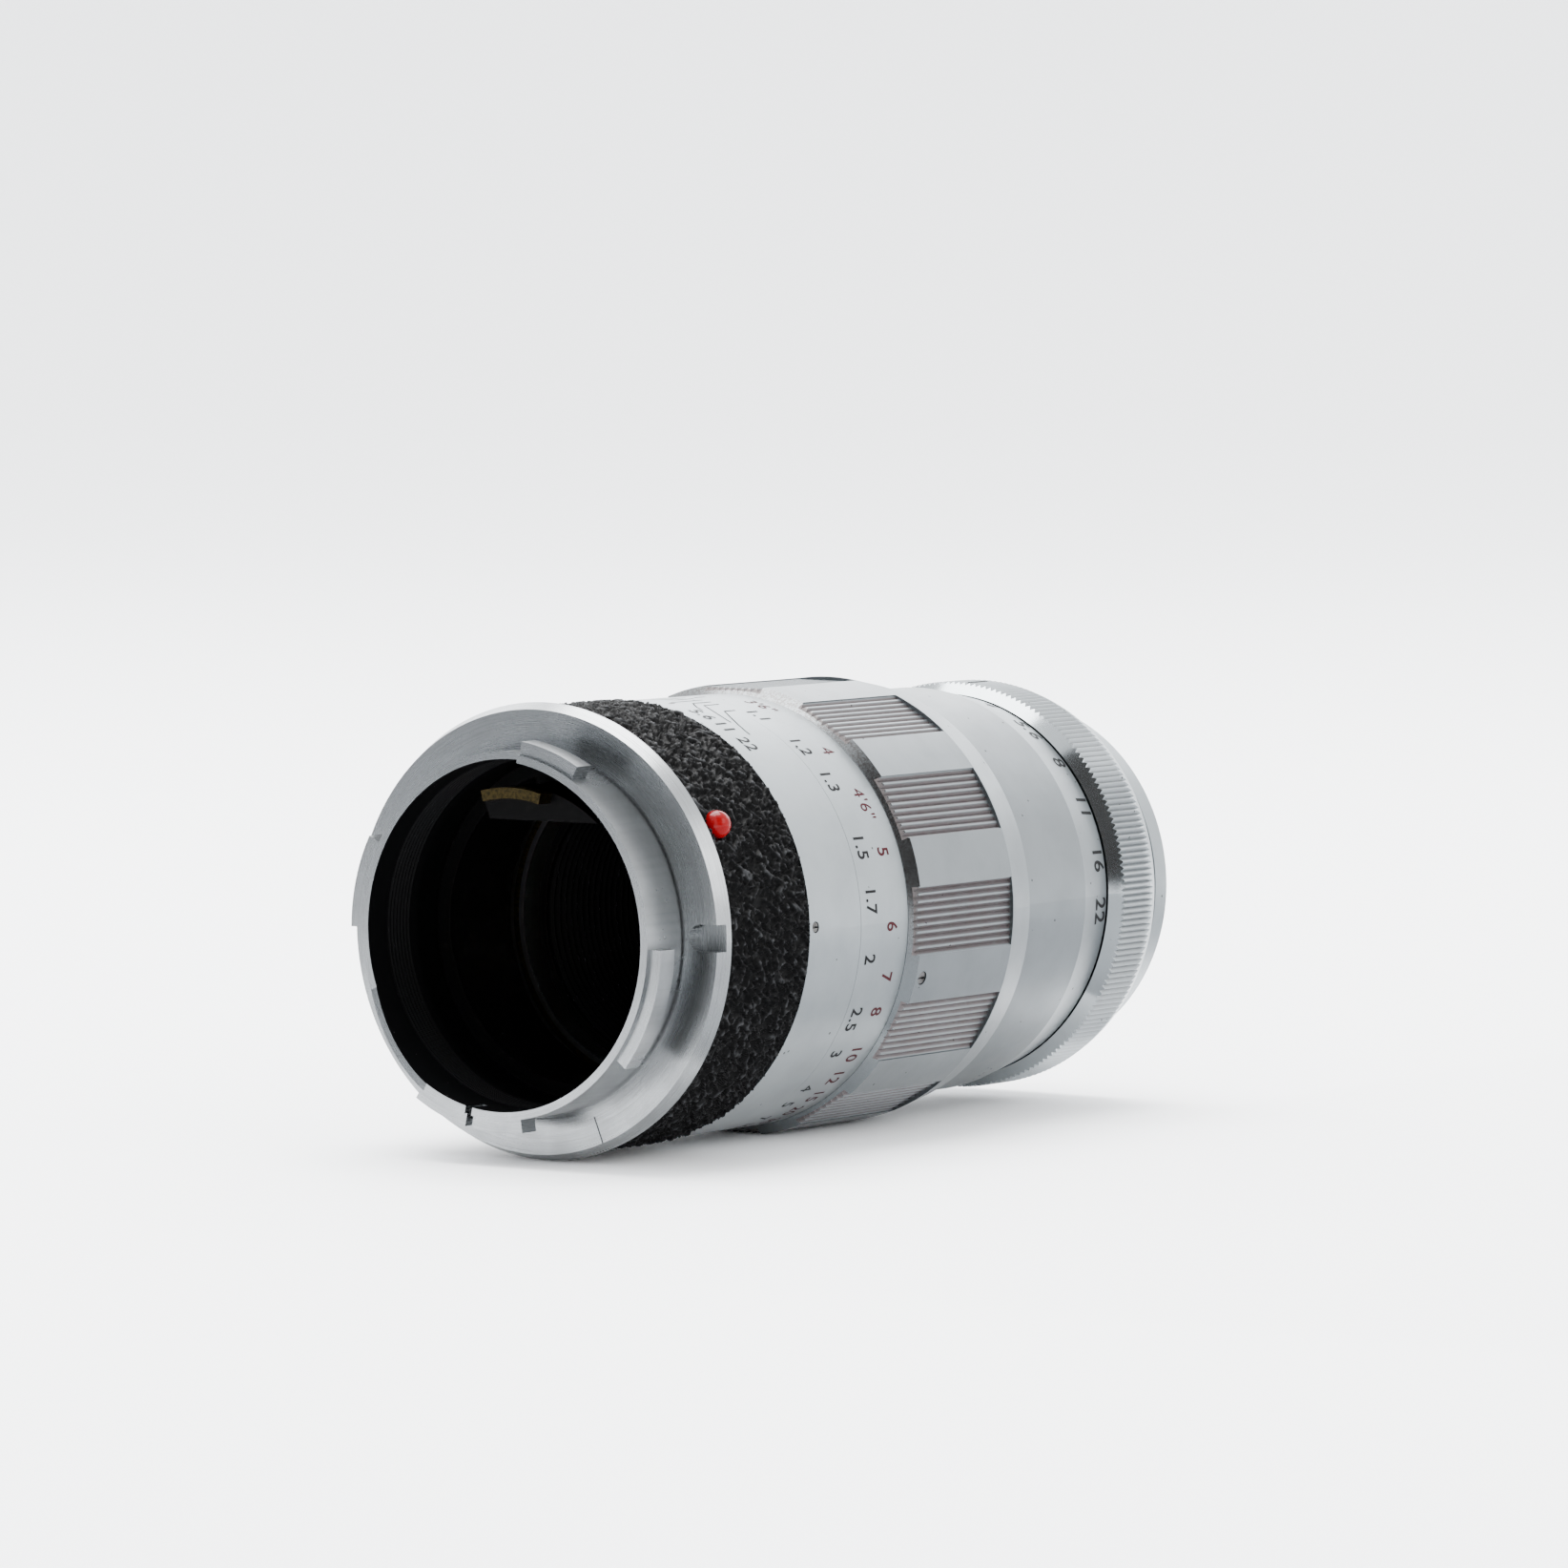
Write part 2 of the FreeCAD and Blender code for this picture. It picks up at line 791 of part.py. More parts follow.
def make_distance_scale_ring():
    """The turning ring that carries the distance scale."""
    keep(
        "distance_scale_ring",
        ring("distance_ring", s.drum_radius, s.distance_radius, s.distance_start, s.distance_end),
    )


def grip_cutter():
    """What is milled off the grip: a flat with a row of V grooves, for every group around it."""
    outer = s.grip_radius.value + 1.2
    pitch = s.groove_pitch.value
    count = int(s.grooves_per_group.value)
    half_width = s.groove_half_width.value
    edge = count * pitch / 2
    level = math.sqrt(s.grip_radius.value**2 - edge**2) - s.flat_inset.value
    length = s.groove_end.value - s.grip_start.value + 0.5
    row = [(level, -edge)]
    for index in range(count):
        middle = (index - (count - 1) / 2) * pitch
        row.append((level, middle - half_width))
        row.append((level - s.groove_depth.value, middle))
        row.append((level, middle + half_width))
    row.append((level, edge))
    row.append((outer, edge))
    row.append((outer, -edge))
    wire = Part.makePolygon([FreeCAD.Vector(x, 0, z) for x, z in row + row[:1]])
    bar = Part.Face(wire).extrude(FreeCAD.Vector(0, length, 0))
    bars = []
    for angle in around(s.grip_first_angle, int(s.grip_groups.value)):
        turned_bar = bar.copy()
        turned_bar.Placement = FreeCAD.Placement(
            FreeCAD.Vector(0, s.grip_start.value - 0.5, 0), about_axis(angle)
        )
        bars.append(turned_bar)
    item = doc.addObject("Part::Feature", "grip_cutter")
    item.Shape = Part.makeCompound(bars)
    return item


def make_focus_grip():
    """The grip: a bevelled ring, milled in groups, that the barrel slides through."""
    blank = turned(
        "grip_blank",
        [
            (s.drum_radius, s.grip_start),
            (s.distance_radius, s.grip_start),
            (s.grip_radius, s.grip_bevel_end),
            (s.grip_radius, s.grip_taper),
            (s.grip_lip_radius, s.grip_end),
            (s.grip_bore, s.grip_end),
            (s.grip_bore, s.grip_web_end),
            (s.drum_radius, s.grip_web_end),
        ],
    )
    place = (s.grip_screw_station, s.grip_screw_angle)
    holes = screw_holes("grip_holes", s.grip_screw_radius, 21.9, 26.5, *place)
    sinks = screw_sinks("grip_sinks", s.grip_screw_radius, s.grip_radius, *place)
    keep("focus_grip", cut_all("grip", blank, [grip_cutter(), holes, sinks]))
    outer = s.grip_radius - 0.1
    keep("grip_screws", slotted_screws("grip_screw", s.grip_screw_radius, 21.9, outer, *place))


# ---------------------------------------------------------------- the sliding head


def barrel_screw_holes(name):
    """Where the screws that hold the barrel to the head tube go."""
    return screw_holes(
        name,
        s.barrel_screw_radius,
        s.barrel_screw_inner,
        s.front_barrel_radius + 0.3,
        s.barrel_screw_station,
        s.barrel_screw_angle,
    )


def make_head_tube():
    """The ribbed inner tube that slides in the helicoid, slotted for the guide key."""
    blank = turned(
        "head_tube_blank",
        [
            (s.head_bore, s.head_start),
            (s.head_radius, s.head_start),
            (s.head_radius, s.head_flange_start),
            (s.barrel_bore, s.head_flange_start),
            (s.barrel_bore, s.head_flange_end),
            (s.head_bore, s.head_flange_end),
        ],
    )
    grooved(blank, "head_ribs", s.head_bore, s.rib_depth, s.head_start + 0.6, s.rib_pitch, 30)
    slot = radial_block(
        "key_slot",
        s.head_bore - 1.0,
        s.head_radius + 1.0,
        s.head_start - 1.0,
        s.key_end + 11.0,
        s.key_width + 0.3,
        s.key_angle,
    )
    holes = barrel_screw_holes("head_tube_holes")
    keep("head_tube", cut_all("head_tube_cut", blank, [slot, holes]))


def drive_slot():
    """The arc that the iris drive pin sweeps through the barrel's web."""
    margin = math.degrees(math.asin(s.drive_radius.value / s.drive_orbit.value)) + 0.8
    start = s.drive_angle.value - s.aperture_travel.value - margin
    end = s.drive_angle.value + margin
    inner = s.drive_orbit - s.drive_radius - 0.1
    outer = s.drive_orbit + s.drive_radius + 0.1
    return ring("drive_slot", inner, outer, s.web_start - 0.5, s.front_barrel_end + 0.5, (start, end))


def make_front_barrel():
    """The plain sliding barrel, its number cone and the web that carries the front cell."""
    blank = turned(
        "front_barrel_blank",
        [
            (s.barrel_bore, s.front_barrel_start),
            (s.front_barrel_radius, s.front_barrel_start),
            (s.front_barrel_radius, s.number_cone_start),
            (s.number_cone_radius, s.front_barrel_end),
            (s.cell_radius, s.front_barrel_end),
            (s.cell_radius, s.web_start),
            (s.barrel_bore, s.web_start),
        ],
    )
    tools = [drive_slot(), barrel_screw_holes("front_barrel_holes")]
    keep("front_barrel", cut_all("front_barrel_cut", blank, tools))
    screws = slotted_screws(
        "barrel_screw",
        s.barrel_screw_radius,
        s.barrel_screw_inner,
        s.front_barrel_radius - 0.1,
        s.barrel_screw_station,
        s.barrel_screw_angle,
    )
    keep("barrel_screws", screws)


def make_front_rim():
    """The plain front rim, bored for a screw-in filter."""
    keep(
        "front_rim",
        turned(
            "rim",
            [
                (s.cell_radius, s.rim_start),
                (s.neck_radius, s.rim_start),
                (s.neck_radius, s.neck_end),
                (s.rim_radius, s.neck_end + 0.2),
                (s.rim_radius, s.lens_end - s.rim_chamfer),
                (s.rim_radius - s.rim_chamfer, s.lens_end),
                (s.filter_thread_radius + s.rim_chamfer, s.lens_end),
                (s.filter_thread_radius, s.lens_end - s.rim_chamfer),
                (s.filter_thread_radius, s.cell_end),
                (s.cell_radius, s.cell_end),
            ],
        ),
    )


def make_front_cell():
    """The tube that holds the front glass, and the ring that trims and retains it."""
    keep(
        "front_cell",
        turned(
            "front_cell_blank",
            [
                (s.middle_seat_radius, s.cell_start),
                (s.cell_radius, s.cell_start),
                (s.cell_radius, s.cell_end),
                (s.trim_radius, s.cell_end),
                (s.trim_radius, s.trim_seat),
                (s.front_seat_radius, s.trim_seat),
                (s.front_seat_radius, s.front_seat),
                (s.ledge_radius, s.front_seat),
                (s.ledge_radius, s.middle_seat),
                (s.middle_seat_radius, s.middle_seat),
            ],
        ),
    )
    inner = s.front_seat_radius - 0.85
    keep(
        "front_trim_ring",
        turned(
            "trim_ring",
            [
                (inner, s.trim_seat - 0.3),
                (s.front_seat_radius, s.trim_seat - 0.3),
                (s.front_seat_radius, s.trim_seat),
                (s.trim_radius, s.trim_seat),
                (s.trim_radius, s.trim_seat + 2.4),
                (s.trim_radius - 0.4, s.trim_seat + 2.4),
                (inner, s.trim_seat + 0.3),
            ],
        ),
    )
    keep(
        "middle_retaining_ring",
        ring(
            "middle_retainer",
            s.middle_retainer_bore,
            s.middle_seat_radius,
            s.middle_retainer_start,
            s.middle_retainer_end,
        ),
    )


def rear_screw_rods(name, radius, start, end):
    """Axial rods on the rear cell's screw circle."""
    rods = []
    for index, angle in enumerate(around(90.0, SCREWS_PER_RING)):
        rods.append(axial_rod(f"{name}_{index}", radius, s.rear_screw_orbit, start, end, angle))
    return rods


def make_rear_cell():
    """The tube behind the iris that holds the rear glass, with its ring and screws."""
    blank = turned(
        "rear_cell_blank",
        [
            (s.rear_seat_radius, s.rear_cell_start),
            (s.rear_cell_radius, s.rear_cell_start),
            (s.rear_cell_radius, s.rear_flange_start),
            (s.rear_flange_radius, s.rear_flange_start),
            (s.rear_flange_radius, s.plate_start),
            (s.rear_seat_radius - 1.1, s.plate_start),
            (s.rear_seat_radius - 1.1, s.rear_seat),
            (s.rear_seat_radius, s.rear_seat),
        ],
    )
    hole_rods = rear_screw_rods(
        "rear_cell_hole", s.rear_screw_radius, s.rear_flange_start - 0.6, s.plate_start + 0.5
    )
    holes = group("rear_cell_holes", hole_rods)
    keep("rear_cell", cut("rear_cell_bored", blank, holes))
    keep(
        "rear_retaining_ring",
        ring(
            "rear_retainer",
            s.rear_retainer_bore,
            s.rear_seat_radius,
            s.rear_retainer_start,
            s.rear_retainer_end,
        ),
    )
    screws = []
    shanks = rear_screw_rods(
        "rear_screw_shank", s.rear_screw_radius, s.rear_flange_start - 0.3, s.rear_screw_end
    )
    heads = rear_screw_rods(
        "rear_screw_head",
        s.rear_screw_head_radius,
        s.rear_flange_start - s.rear_screw_head,
        s.rear_flange_start,
    )
    for index, (shank, head) in enumerate(zip(shanks, heads)):
        screws.append(fuse(f"rear_screw_{index}", [shank, head]))
    keep("rear_cell_screws", group("rear_screws", screws))


def make_iris_housing():
    """The drum that seats on the head tube, with the plate that the blades pivot on."""
    blank = turned(
        "iris_housing_blank",
        [
            (s.housing_bore, s.head_flange_end),
            (s.barrel_bore, s.head_flange_end),
            (s.barrel_bore, s.housing_end),
            (s.housing_bore, s.housing_end),
            (s.housing_bore, s.plate_end),
            (s.iris_radius, s.plate_end),
            (s.iris_radius, s.plate_start),
            (s.housing_bore, s.plate_start),
        ],
    )
    pin_holes = []
    for index, angle in enumerate(around(0.0, IRIS_BLADES)):
        radius = s.blade_pin_radius + s.blade_pin_gap
        pin_holes.append(
            axial_rod(
                f"blade_hole_{index}",
                radius,
                s.blade_pivot_orbit,
                s.plate_start - 0.2,
                s.plate_end + 0.2,
                angle,
            )
        )
    screw_ends = rear_screw_rods(
        "housing_screw_hole", s.rear_screw_radius, s.plate_start - 0.2, s.rear_screw_end
    )
    tools = [group("blade_holes", pin_holes), group("housing_screw_holes", screw_ends)]
    keep("iris_housing", cut_all("iris_housing_bored", blank, tools))


# ---------------------------------------------------------------- glass


def ball(name, radius, centre):
    """A sphere with its centre on the axis."""
    item = doc.addObject("Part::Sphere", name)
    bind(item, Radius=radius)
    item.Placement.Base = FreeCAD.Vector(0, as_size(centre).value, 0)
    return item


def make_glass():
    """Five elements in three groups: a front lens and two cemented pairs."""
    front_radius = s.front_seat_radius - 0.05
    front_curve = 52.0
    front_vertex = s.front_seat + 6.8
    keep(
        "front_element",
        common(
            "front_glass",
            [
                cylinder("front_glass_edge", front_radius, s.front_seat, front_vertex + 1.0),
                ball("front_glass_face", front_curve, front_vertex - front_curve),
            ],
        ),
    )
    radius = s.middle_seat_radius - 0.1
    face_curve = 90.0
    joint_curve = 100.0
    back_curve = 45.0
    face_vertex = s.middle_seat + 1.1
    joint_vertex = s.middle_seat - 2.1
    back_vertex = s.middle_seat - 3.25
    keep(
        "middle_front_element",
        cut(
            "middle_front_glass",
            common(
                "middle_front_body",
                [
                    cylinder("middle_front_edge", radius, joint_vertex, face_vertex + 1.0),
                    ball("middle_front_face", face_curve, face_vertex - face_curve),
                    ball("middle_joint_inside", joint_curve, joint_vertex + joint_curve),
                ],
            ),
            cylinder("middle_front_end", radius + 1.0, face_vertex + 0.5, face_vertex + 2.0),
        ),
    )
    keep(
        "middle_rear_element",
        cut_all(
            "middle_rear_glass",
            cylinder("middle_rear_edge", radius, s.middle_seat - 6.0, s.middle_seat - 0.85),
            [
                ball("middle_joint_outside", joint_curve, joint_vertex + joint_curve),
                ball("middle_back_face", back_curve, back_vertex - back_curve),
            ],
        ),
    )
    radius = s.rear_seat_radius - 0.1
    face_curve = 60.0
    joint_curve = 35.0
    back_curve = 80.0
    face_vertex = s.rear_seat + 1.15
    joint_vertex = s.rear_seat - 3.9
    back_vertex = s.rear_seat - 6.4
    keep(
        "rear_front_element",
        common(
            "rear_front_glass",
            [
                cylinder("rear_front_edge", radius, joint_vertex, face_vertex + 0.5),
                ball("rear_front_face", face_curve, face_vertex - face_curve),
                ball("rear_joint_inside", joint_curve, joint_vertex + joint_curve),
            ],
        ),
    )
    keep(
        "rear_back_element",
        cut(
            "rear_back_glass",
            common(
                "rear_back_body",
                [
                    cylinder("rear_back_edge", radius, back_vertex, s.rear_seat - 1.4),
                    ball("rear_back_face", back_curve, back_vertex + back_curve),
                ],
            ),
            ball("rear_joint_outside", joint_curve, joint_vertex + joint_curve),
        ),
    )


# ---------------------------------------------------------------- the rangefinder slide


def make_rangefinder_slide():
    """The black slide with its flat-bottomed arm, and the brass cam on the arm's end."""
    low = s.arm_middle.value - s.arm_half_angle.value
    high = s.arm_middle.value + s.arm_half_angle.value
    band = cylinder("arm_round", s.arm_radius, s.arm_start, s.arm_end, (low, high))
    join = ring("arm_join", s.arm_radius - 1.0, s.slide_bore + 0.2, s.slide_start, s.arm_end, (low, high))
    chord = radial_block(
        "arm_chord_cut", -25.0, s.arm_chord, s.arm_start - 1.0, s.arm_end + 1.0, 60.0, s.arm_chord_angle
    )
    sleeve = ring("slide_sleeve", s.slide_bore, s.slide_radius, s.slide_start, s.slide_end)
    arm = cut("arm", band, chord)
    keep("rangefinder_carrier", fuse("carrier", [sleeve, join, arm]))
    sector = (s.cam_low_angle, s.cam_high_angle)
    keep("rangefinder_cam", ring("cam", s.cam_inner, s.arm_radius, s.cam_start, s.arm_start, sector))


# ---------------------------------------------------------------- the aperture ring


def knurl_cutter():
    """What the knurling tool takes off: V grooves parallel to the axis, all the way round."""
    teeth = int(s.knurl_teeth.value)
    outer = s.knurl_radius.value + 1.0
    crest = s.knurl_radius.value + 0.02
    root = s.knurl_radius.value - s.knurl_depth.value
    start = s.aperture_start.value - 0.5
    length = s.aperture_end.value - s.aperture_start.value + 1.0
    corners = []
    for index in range(teeth):
        for radius, step in ((crest, index), (root, index + 0.5)):
            angle = 2 * math.pi * step / teeth
            corners.append(FreeCAD.Vector(radius * math.cos(angle), start, radius * math.sin(angle)))
    star = Part.Wire(Part.makePolygon(corners + corners[:1]))
    centre = FreeCAD.Vector(0, start, 0)
    rim = Part.Wire(Part.Circle(centre, AXIS, outer).toShape())
    item = doc.addObject("Part::Feature", "knurl_cutter")
    prism = Part.Face(rim).extrude(FreeCAD.Vector(0, length, 0))
    core = Part.Face(star).extrude(FreeCAD.Vector(0, length, 0))
    item.Shape = prism.cut(core)
    return item


def make_aperture_ring():
    """The knurled ring with a polished cone behind it, and a blind hole for the drive pin."""
    blank = turned(
        "aperture_blank",
        [
            (s.aperture_bore, s.aperture_start),
            (s.aperture_rear_radius, s.aperture_start),
            (s.knurl_radius, s.knurl_start),
            (s.knurl_radius, s.knurl_end),
            (s.shoulder_radius, s.shoulder_station),
            (s.aperture_front_radius, s.aperture_end),
            (s.aperture_bore, s.aperture_end),
        ],
    )
    pin_hole = axial_rod(
        "drive_hole", s.drive_radius, s.drive_orbit, s.aperture_start - 0.5, s.drive_end, s.drive_angle
    )
    keep("aperture_ring", cut_all("aperture", blank, [knurl_cutter(), pin_hole]))


def make_iris_rotor():
    """The plate that swings the blades, and the pin that ties it to the aperture ring."""
    blank = ring("rotor_blank", s.iris_radius + 0.25, s.rotor_radius, s.rotor_start, s.rotor_end)
    reach = (s.drive_radius, s.drive_orbit, s.rotor_start, s.drive_end, s.drive_angle)
    keep("iris_rotor", cut("rotor", blank, axial_rod("rotor_hole", *reach)))
    keep("iris_drive_pin", axial_rod("drive_pin", *reach))


def make_iris_blade(index, angle):
    """A crescent blade with an ear and a pivot pin; each blade lies in its own layer."""
    name = f"blade_{index}"
    start = s.blade_start + s.blade_pitch * index
    end = start + s.blade_thickness
    span = (angle - 2.0, angle + s.blade_span.value)
    leaf = ring(name + "_leaf", s.iris_radius, s.blade_outer, start, end, span)
    orbit = s.blade_pivot_orbit
    ear = axial_rod(name + "_ear", s.blade_ear_radius, orbit, start, end, angle)
    width = s.blade_ear_radius * 2.0
    neck = radial_block(name + "_neck", s.blade_outer - 0.9, orbit, start, end, width, angle)
    pin = axial_rod(name + "_pin", s.blade_pin_radius, orbit, s.plate_start + 0.1, end, angle)
    keep(f"iris_blade_{index + 1:02d}", fuse(name, [leaf, neck, ear, pin]))


# ---------------------------------------------------------------- build and write


def check_and_write():
    """Refuse a failed object or a bad shape, then write each sub-part to its own file."""
    doc.recompute()
    for item in doc.Objects:
        if "Invalid" in item.State or "Error" in item.State:
            raise RuntimeError(f"{item.Label} failed: {item.State}")
    for item in subparts:
        if item.Shape.isNull() or not item.Shape.isValid() or item.Shape.Volume <= 0:
            raise RuntimeError(f"{item.Label} has no valid shape")
    os.makedirs("parts", exist_ok=True)
    for item in subparts:
        item.Shape.exportStep(f"parts/{item.Label}.step")
        print(item.Label, len(item.Shape.Solids), round(item.Shape.Volume, 2))


make_bayonet_mount()
make_mount_barrel()
make_covering_band()
make_index_bead()
make_depth_scale_ring()
make_focus_retainers()
make_guide_key()
make_focusing_helicoid()
make_distance_scale_ring()
make_focus_grip()
make_head_tube()
make_front_barrel()
make_front_rim()
make_front_cell()
make_rear_cell()
make_iris_housing()
make_glass()
make_rangefinder_slide()
make_aperture_ring()
make_iris_rotor()
for blade_index, blade_angle in enumerate(around(0.0, IRIS_BLADES)):
    make_iris_blade(blade_index, blade_angle)
check_and_write()
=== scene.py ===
"""Looks of a chrome prime lens: materials, engraved scales, pebbled skin and studio.

The frame is the CAD frame in metres. The optical axis is +Y, from the camera side to the
front, and +Z is up. An angle about the axis is in degrees, from +X towards +Z.
"""

import json
import math

import bmesh
import bpy
from mathutils import Matrix, Vector, noise


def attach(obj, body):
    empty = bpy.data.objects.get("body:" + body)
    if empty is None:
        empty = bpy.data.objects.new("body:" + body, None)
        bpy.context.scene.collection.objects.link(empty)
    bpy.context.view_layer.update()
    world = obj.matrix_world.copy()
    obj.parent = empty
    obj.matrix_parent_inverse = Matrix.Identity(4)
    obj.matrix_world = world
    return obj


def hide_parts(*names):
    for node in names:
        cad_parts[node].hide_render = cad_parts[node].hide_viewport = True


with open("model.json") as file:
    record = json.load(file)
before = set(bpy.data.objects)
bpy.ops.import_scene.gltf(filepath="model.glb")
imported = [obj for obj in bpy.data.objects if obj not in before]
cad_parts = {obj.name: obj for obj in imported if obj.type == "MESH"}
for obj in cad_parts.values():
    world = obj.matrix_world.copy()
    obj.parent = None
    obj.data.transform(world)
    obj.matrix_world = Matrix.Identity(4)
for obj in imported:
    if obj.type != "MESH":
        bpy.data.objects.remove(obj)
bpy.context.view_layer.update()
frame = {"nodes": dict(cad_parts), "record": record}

MM = 0.001

# the distance law of the focusing mount, and where the scales read from
FOCAL_LENGTH = 90.0
INDEX_ANGLE = 82.8
INFINITY_ANGLE = -87.1
DEGREES_PER_MM = 17.46
DEPTH_DEGREES_PER_STOP = 0.49
MM_PER_FOOT = 304.8

# turned surfaces, in millimetres and degrees
SCALE_RING_RADIUS = 24.73
DISTANCE_RING_RADIUS = 24.7
SKIN_RADIUS = 25.0
GRIP_BEVEL_START = 37.45
GRIP_BEVEL_END = 38.58
GRIP_GROUPS = 12
GRIP_FIRST_ANGLE = -0.4
GRIP_FLAT_LEVEL = 25.39
GROOVE_DEPTH = 0.42
NUMBER_CONE_START = 75.8
NUMBER_CONE_END = 82.0
NUMBER_CONE_REAR_RADIUS = 23.7
NUMBER_CONE_FRONT_RADIUS = 22.6
FLOOR_HEIGHT = -25.53

# painted marks, in millimetres
PAINT_LIFT = 0.015
NUMBER_HEIGHT = 2.05
INFINITY_HEIGHT = 0.9
NUMBER_SQUEEZE = 0.86
APERTURE_NUMBER_HEIGHT = 2.75
APERTURE_NUMBER_SQUEEZE = 0.8
METRE_STATION = 30.2
FEET_STATION = 34.2
DEPTH_LINE_START = 27.85
DEPTH_NUMBER_STATION = 21.1
APERTURE_NUMBER_STATION = 80.35

# plating: its light and its dark colour; the second plate is the same plating painted darker, as painted
# shade on the barrel and the grip
BRIGHT_PLATE = ((0.26, 0.281, 0.291), (0.20, 0.217, 0.226))
SHADED_PLATE = ((0.165, 0.180, 0.188), (0.125, 0.137, 0.144))


# ---------------------------------------------------------------- shader arithmetic


class Value:
    """A socket in a node tree; arithmetic on it adds Math nodes."""

    def __init__(self, paint, socket):
        self.paint = paint
        self.socket = socket

    def __add__(self, other):
        return self.paint.math("ADD", self, other)

    __radd__ = __add__

    def __sub__(self, other):
        return self.paint.math("SUBTRACT", self, other)

    def __rsub__(self, other):
        return self.paint.math("SUBTRACT", other, self)

    def __mul__(self, other):
        return self.paint.math("MULTIPLY", self, other)

    __rmul__ = __mul__

    def __truediv__(self, other):
        return self.paint.math("DIVIDE", self, other)

    def __rtruediv__(self, other):
        return self.paint.math("DIVIDE", other, self)

    def above(self, level):
        return self.paint.math("GREATER_THAN", self, level)

    def below(self, level):
        return self.paint.math("LESS_THAN", self, level)

    def ramp(self, low, high):
        """0 at low and 1 at high, smooth between and clamped outside."""
        settings = {"interpolation_type": "SMOOTHSTEP"}
        inputs = {"Value": self, "From Min": low, "From Max": high}
        return self.paint.node("ShaderNodeMapRange", settings, inputs, "Result")


class Paint:
    """A procedural material under construction."""

    def __init__(self, name):
        self.material = bpy.data.materials.new(name)
        self.material.use_nodes = True
        self.tree = self.material.node_tree
        self.tree.nodes.clear()
        output = self.tree.nodes.new("ShaderNodeOutputMaterial")
        self.shader = self.tree.nodes.new("ShaderNodeBsdfPrincipled")
        self.tree.links.new(self.shader.outputs["BSDF"], output.inputs["Surface"])
        self.place = self.node("ShaderNodeTexCoord", {}, {}, "Object")
        parts = self.tree.nodes.new("ShaderNodeSeparateXYZ")
        self.tree.links.new(self.place.socket, parts.inputs[0])
        self.x, self.y, self.z = (Value(self, parts.outputs[axis]) for axis in "XYZ")
        self.radius = self.math("SQRT", self.x * self.x + self.z * self.z)

    def node(self, kind, settings, inputs, output):
        """Add a node: its settings first, then its sockets; give back one output."""
        item = self.tree.nodes.new(kind)
        for name, value in settings.items():
            setattr(item, name, value)
        for name, value in inputs.items():
            self.feed(item.inputs[name], value)
        return Value(self, item.outputs[output])

    def feed(self, socket, value):
        if isinstance(value, Value):
            self.tree.links.new(value.socket, socket)
        else:
            socket.default_value = value

    def math(self, operation, *values):
        inputs = dict(enumerate(values))
        return self.node("ShaderNodeMath", {"operation": operation}, inputs, 0)

    def vector(self, x, y, z):
        return self.node("ShaderNodeCombineXYZ", {}, {0: x, 1: y, 2: z}, 0)

    def noise(self, scale, detail=2.0, roughness=0.5, place=None):
        inputs = {
            "Vector": place or self.place,
            "Scale": scale,
            "Detail": detail,
            "Roughness": roughness,
        }
        return self.node("ShaderNodeTexNoise", {}, inputs, "Fac")

    def cells(self, scale):
        """Distance to the nearest of many scattered points."""
        inputs = {"Vector": self.place, "Scale": scale}
        return self.node("ShaderNodeTexVoronoi", {}, inputs, "Distance")

    def stretched(self, along, across):
        """Object coordinates that vary fast along the axis and slowly around it."""
        return self.vector(self.x * across, self.y * along, self.z * across)

    def blend(self, factor, first, second):
        """A colour between two, each a colour or a Value."""
        settings = {"data_type": "RGBA"}
        colours = [c if isinstance(c, Value) else (*c, 1.0) for c in (first, second)]
        inputs = {0: factor, 6: colours[0], 7: colours[1]}
        return self.node("ShaderNodeMix", settings, inputs, 2)

    def bump(self, height, distance, strength):
        inputs = {"Height": height, "Distance": distance, "Strength": strength}
        return self.node("ShaderNodeBump", {}, inputs, "Normal")

    def finish(self, **sockets):
        """Feed the shader's sockets, such as Base_Color, and give back the material."""
        for name, value in sockets.items():
            if isinstance(value, tuple):
                value = (*value, 1.0)
            self.feed(self.shader.inputs[name.replace("_", " ")], value)
        return self.material


# ---------------------------------------------------------------- materials


def turned_metal(name, light, dark, roughness, spread):
    """The colour, roughness and height of satin plating over lathe-turned metal."""
    paint = Paint(name)
    lines = paint.noise(1.0, 3.0, 0.6, paint.stretched(9000.0, 90.0))
    smudge = paint.noise(130.0, 4.0, 0.6)
    grain = paint.noise(5200.0, 2.0)
    speck_size = paint.noise(240.0, 1.0)
    specks = paint.cells(520.0).below(0.085) * speck_size.above(0.56)
    colour = paint.blend(smudge.ramp(0.35, 0.75) * 0.5 + lines * 0.2, light, dark)
    colour = paint.blend(specks * 0.75, colour, (0.03, 0.028, 0.026))
    rough = roughness + smudge * spread + lines * 0.06 + specks * 0.3
    height = lines * 0.5 + grain * 0.5 - specks * 1.5
    return paint, colour, rough, height


def satin_chrome(name, plate):
    """Satin plating on plain turned rings."""
    paint, colour, rough, height = turned_metal(name, *plate, 0.28, 0.10)
    normal = paint.bump(height, 0.000006, 0.5)
    return paint.finish(Base_Color=colour, Metallic=1.0, Roughness=rough, Normal=normal)


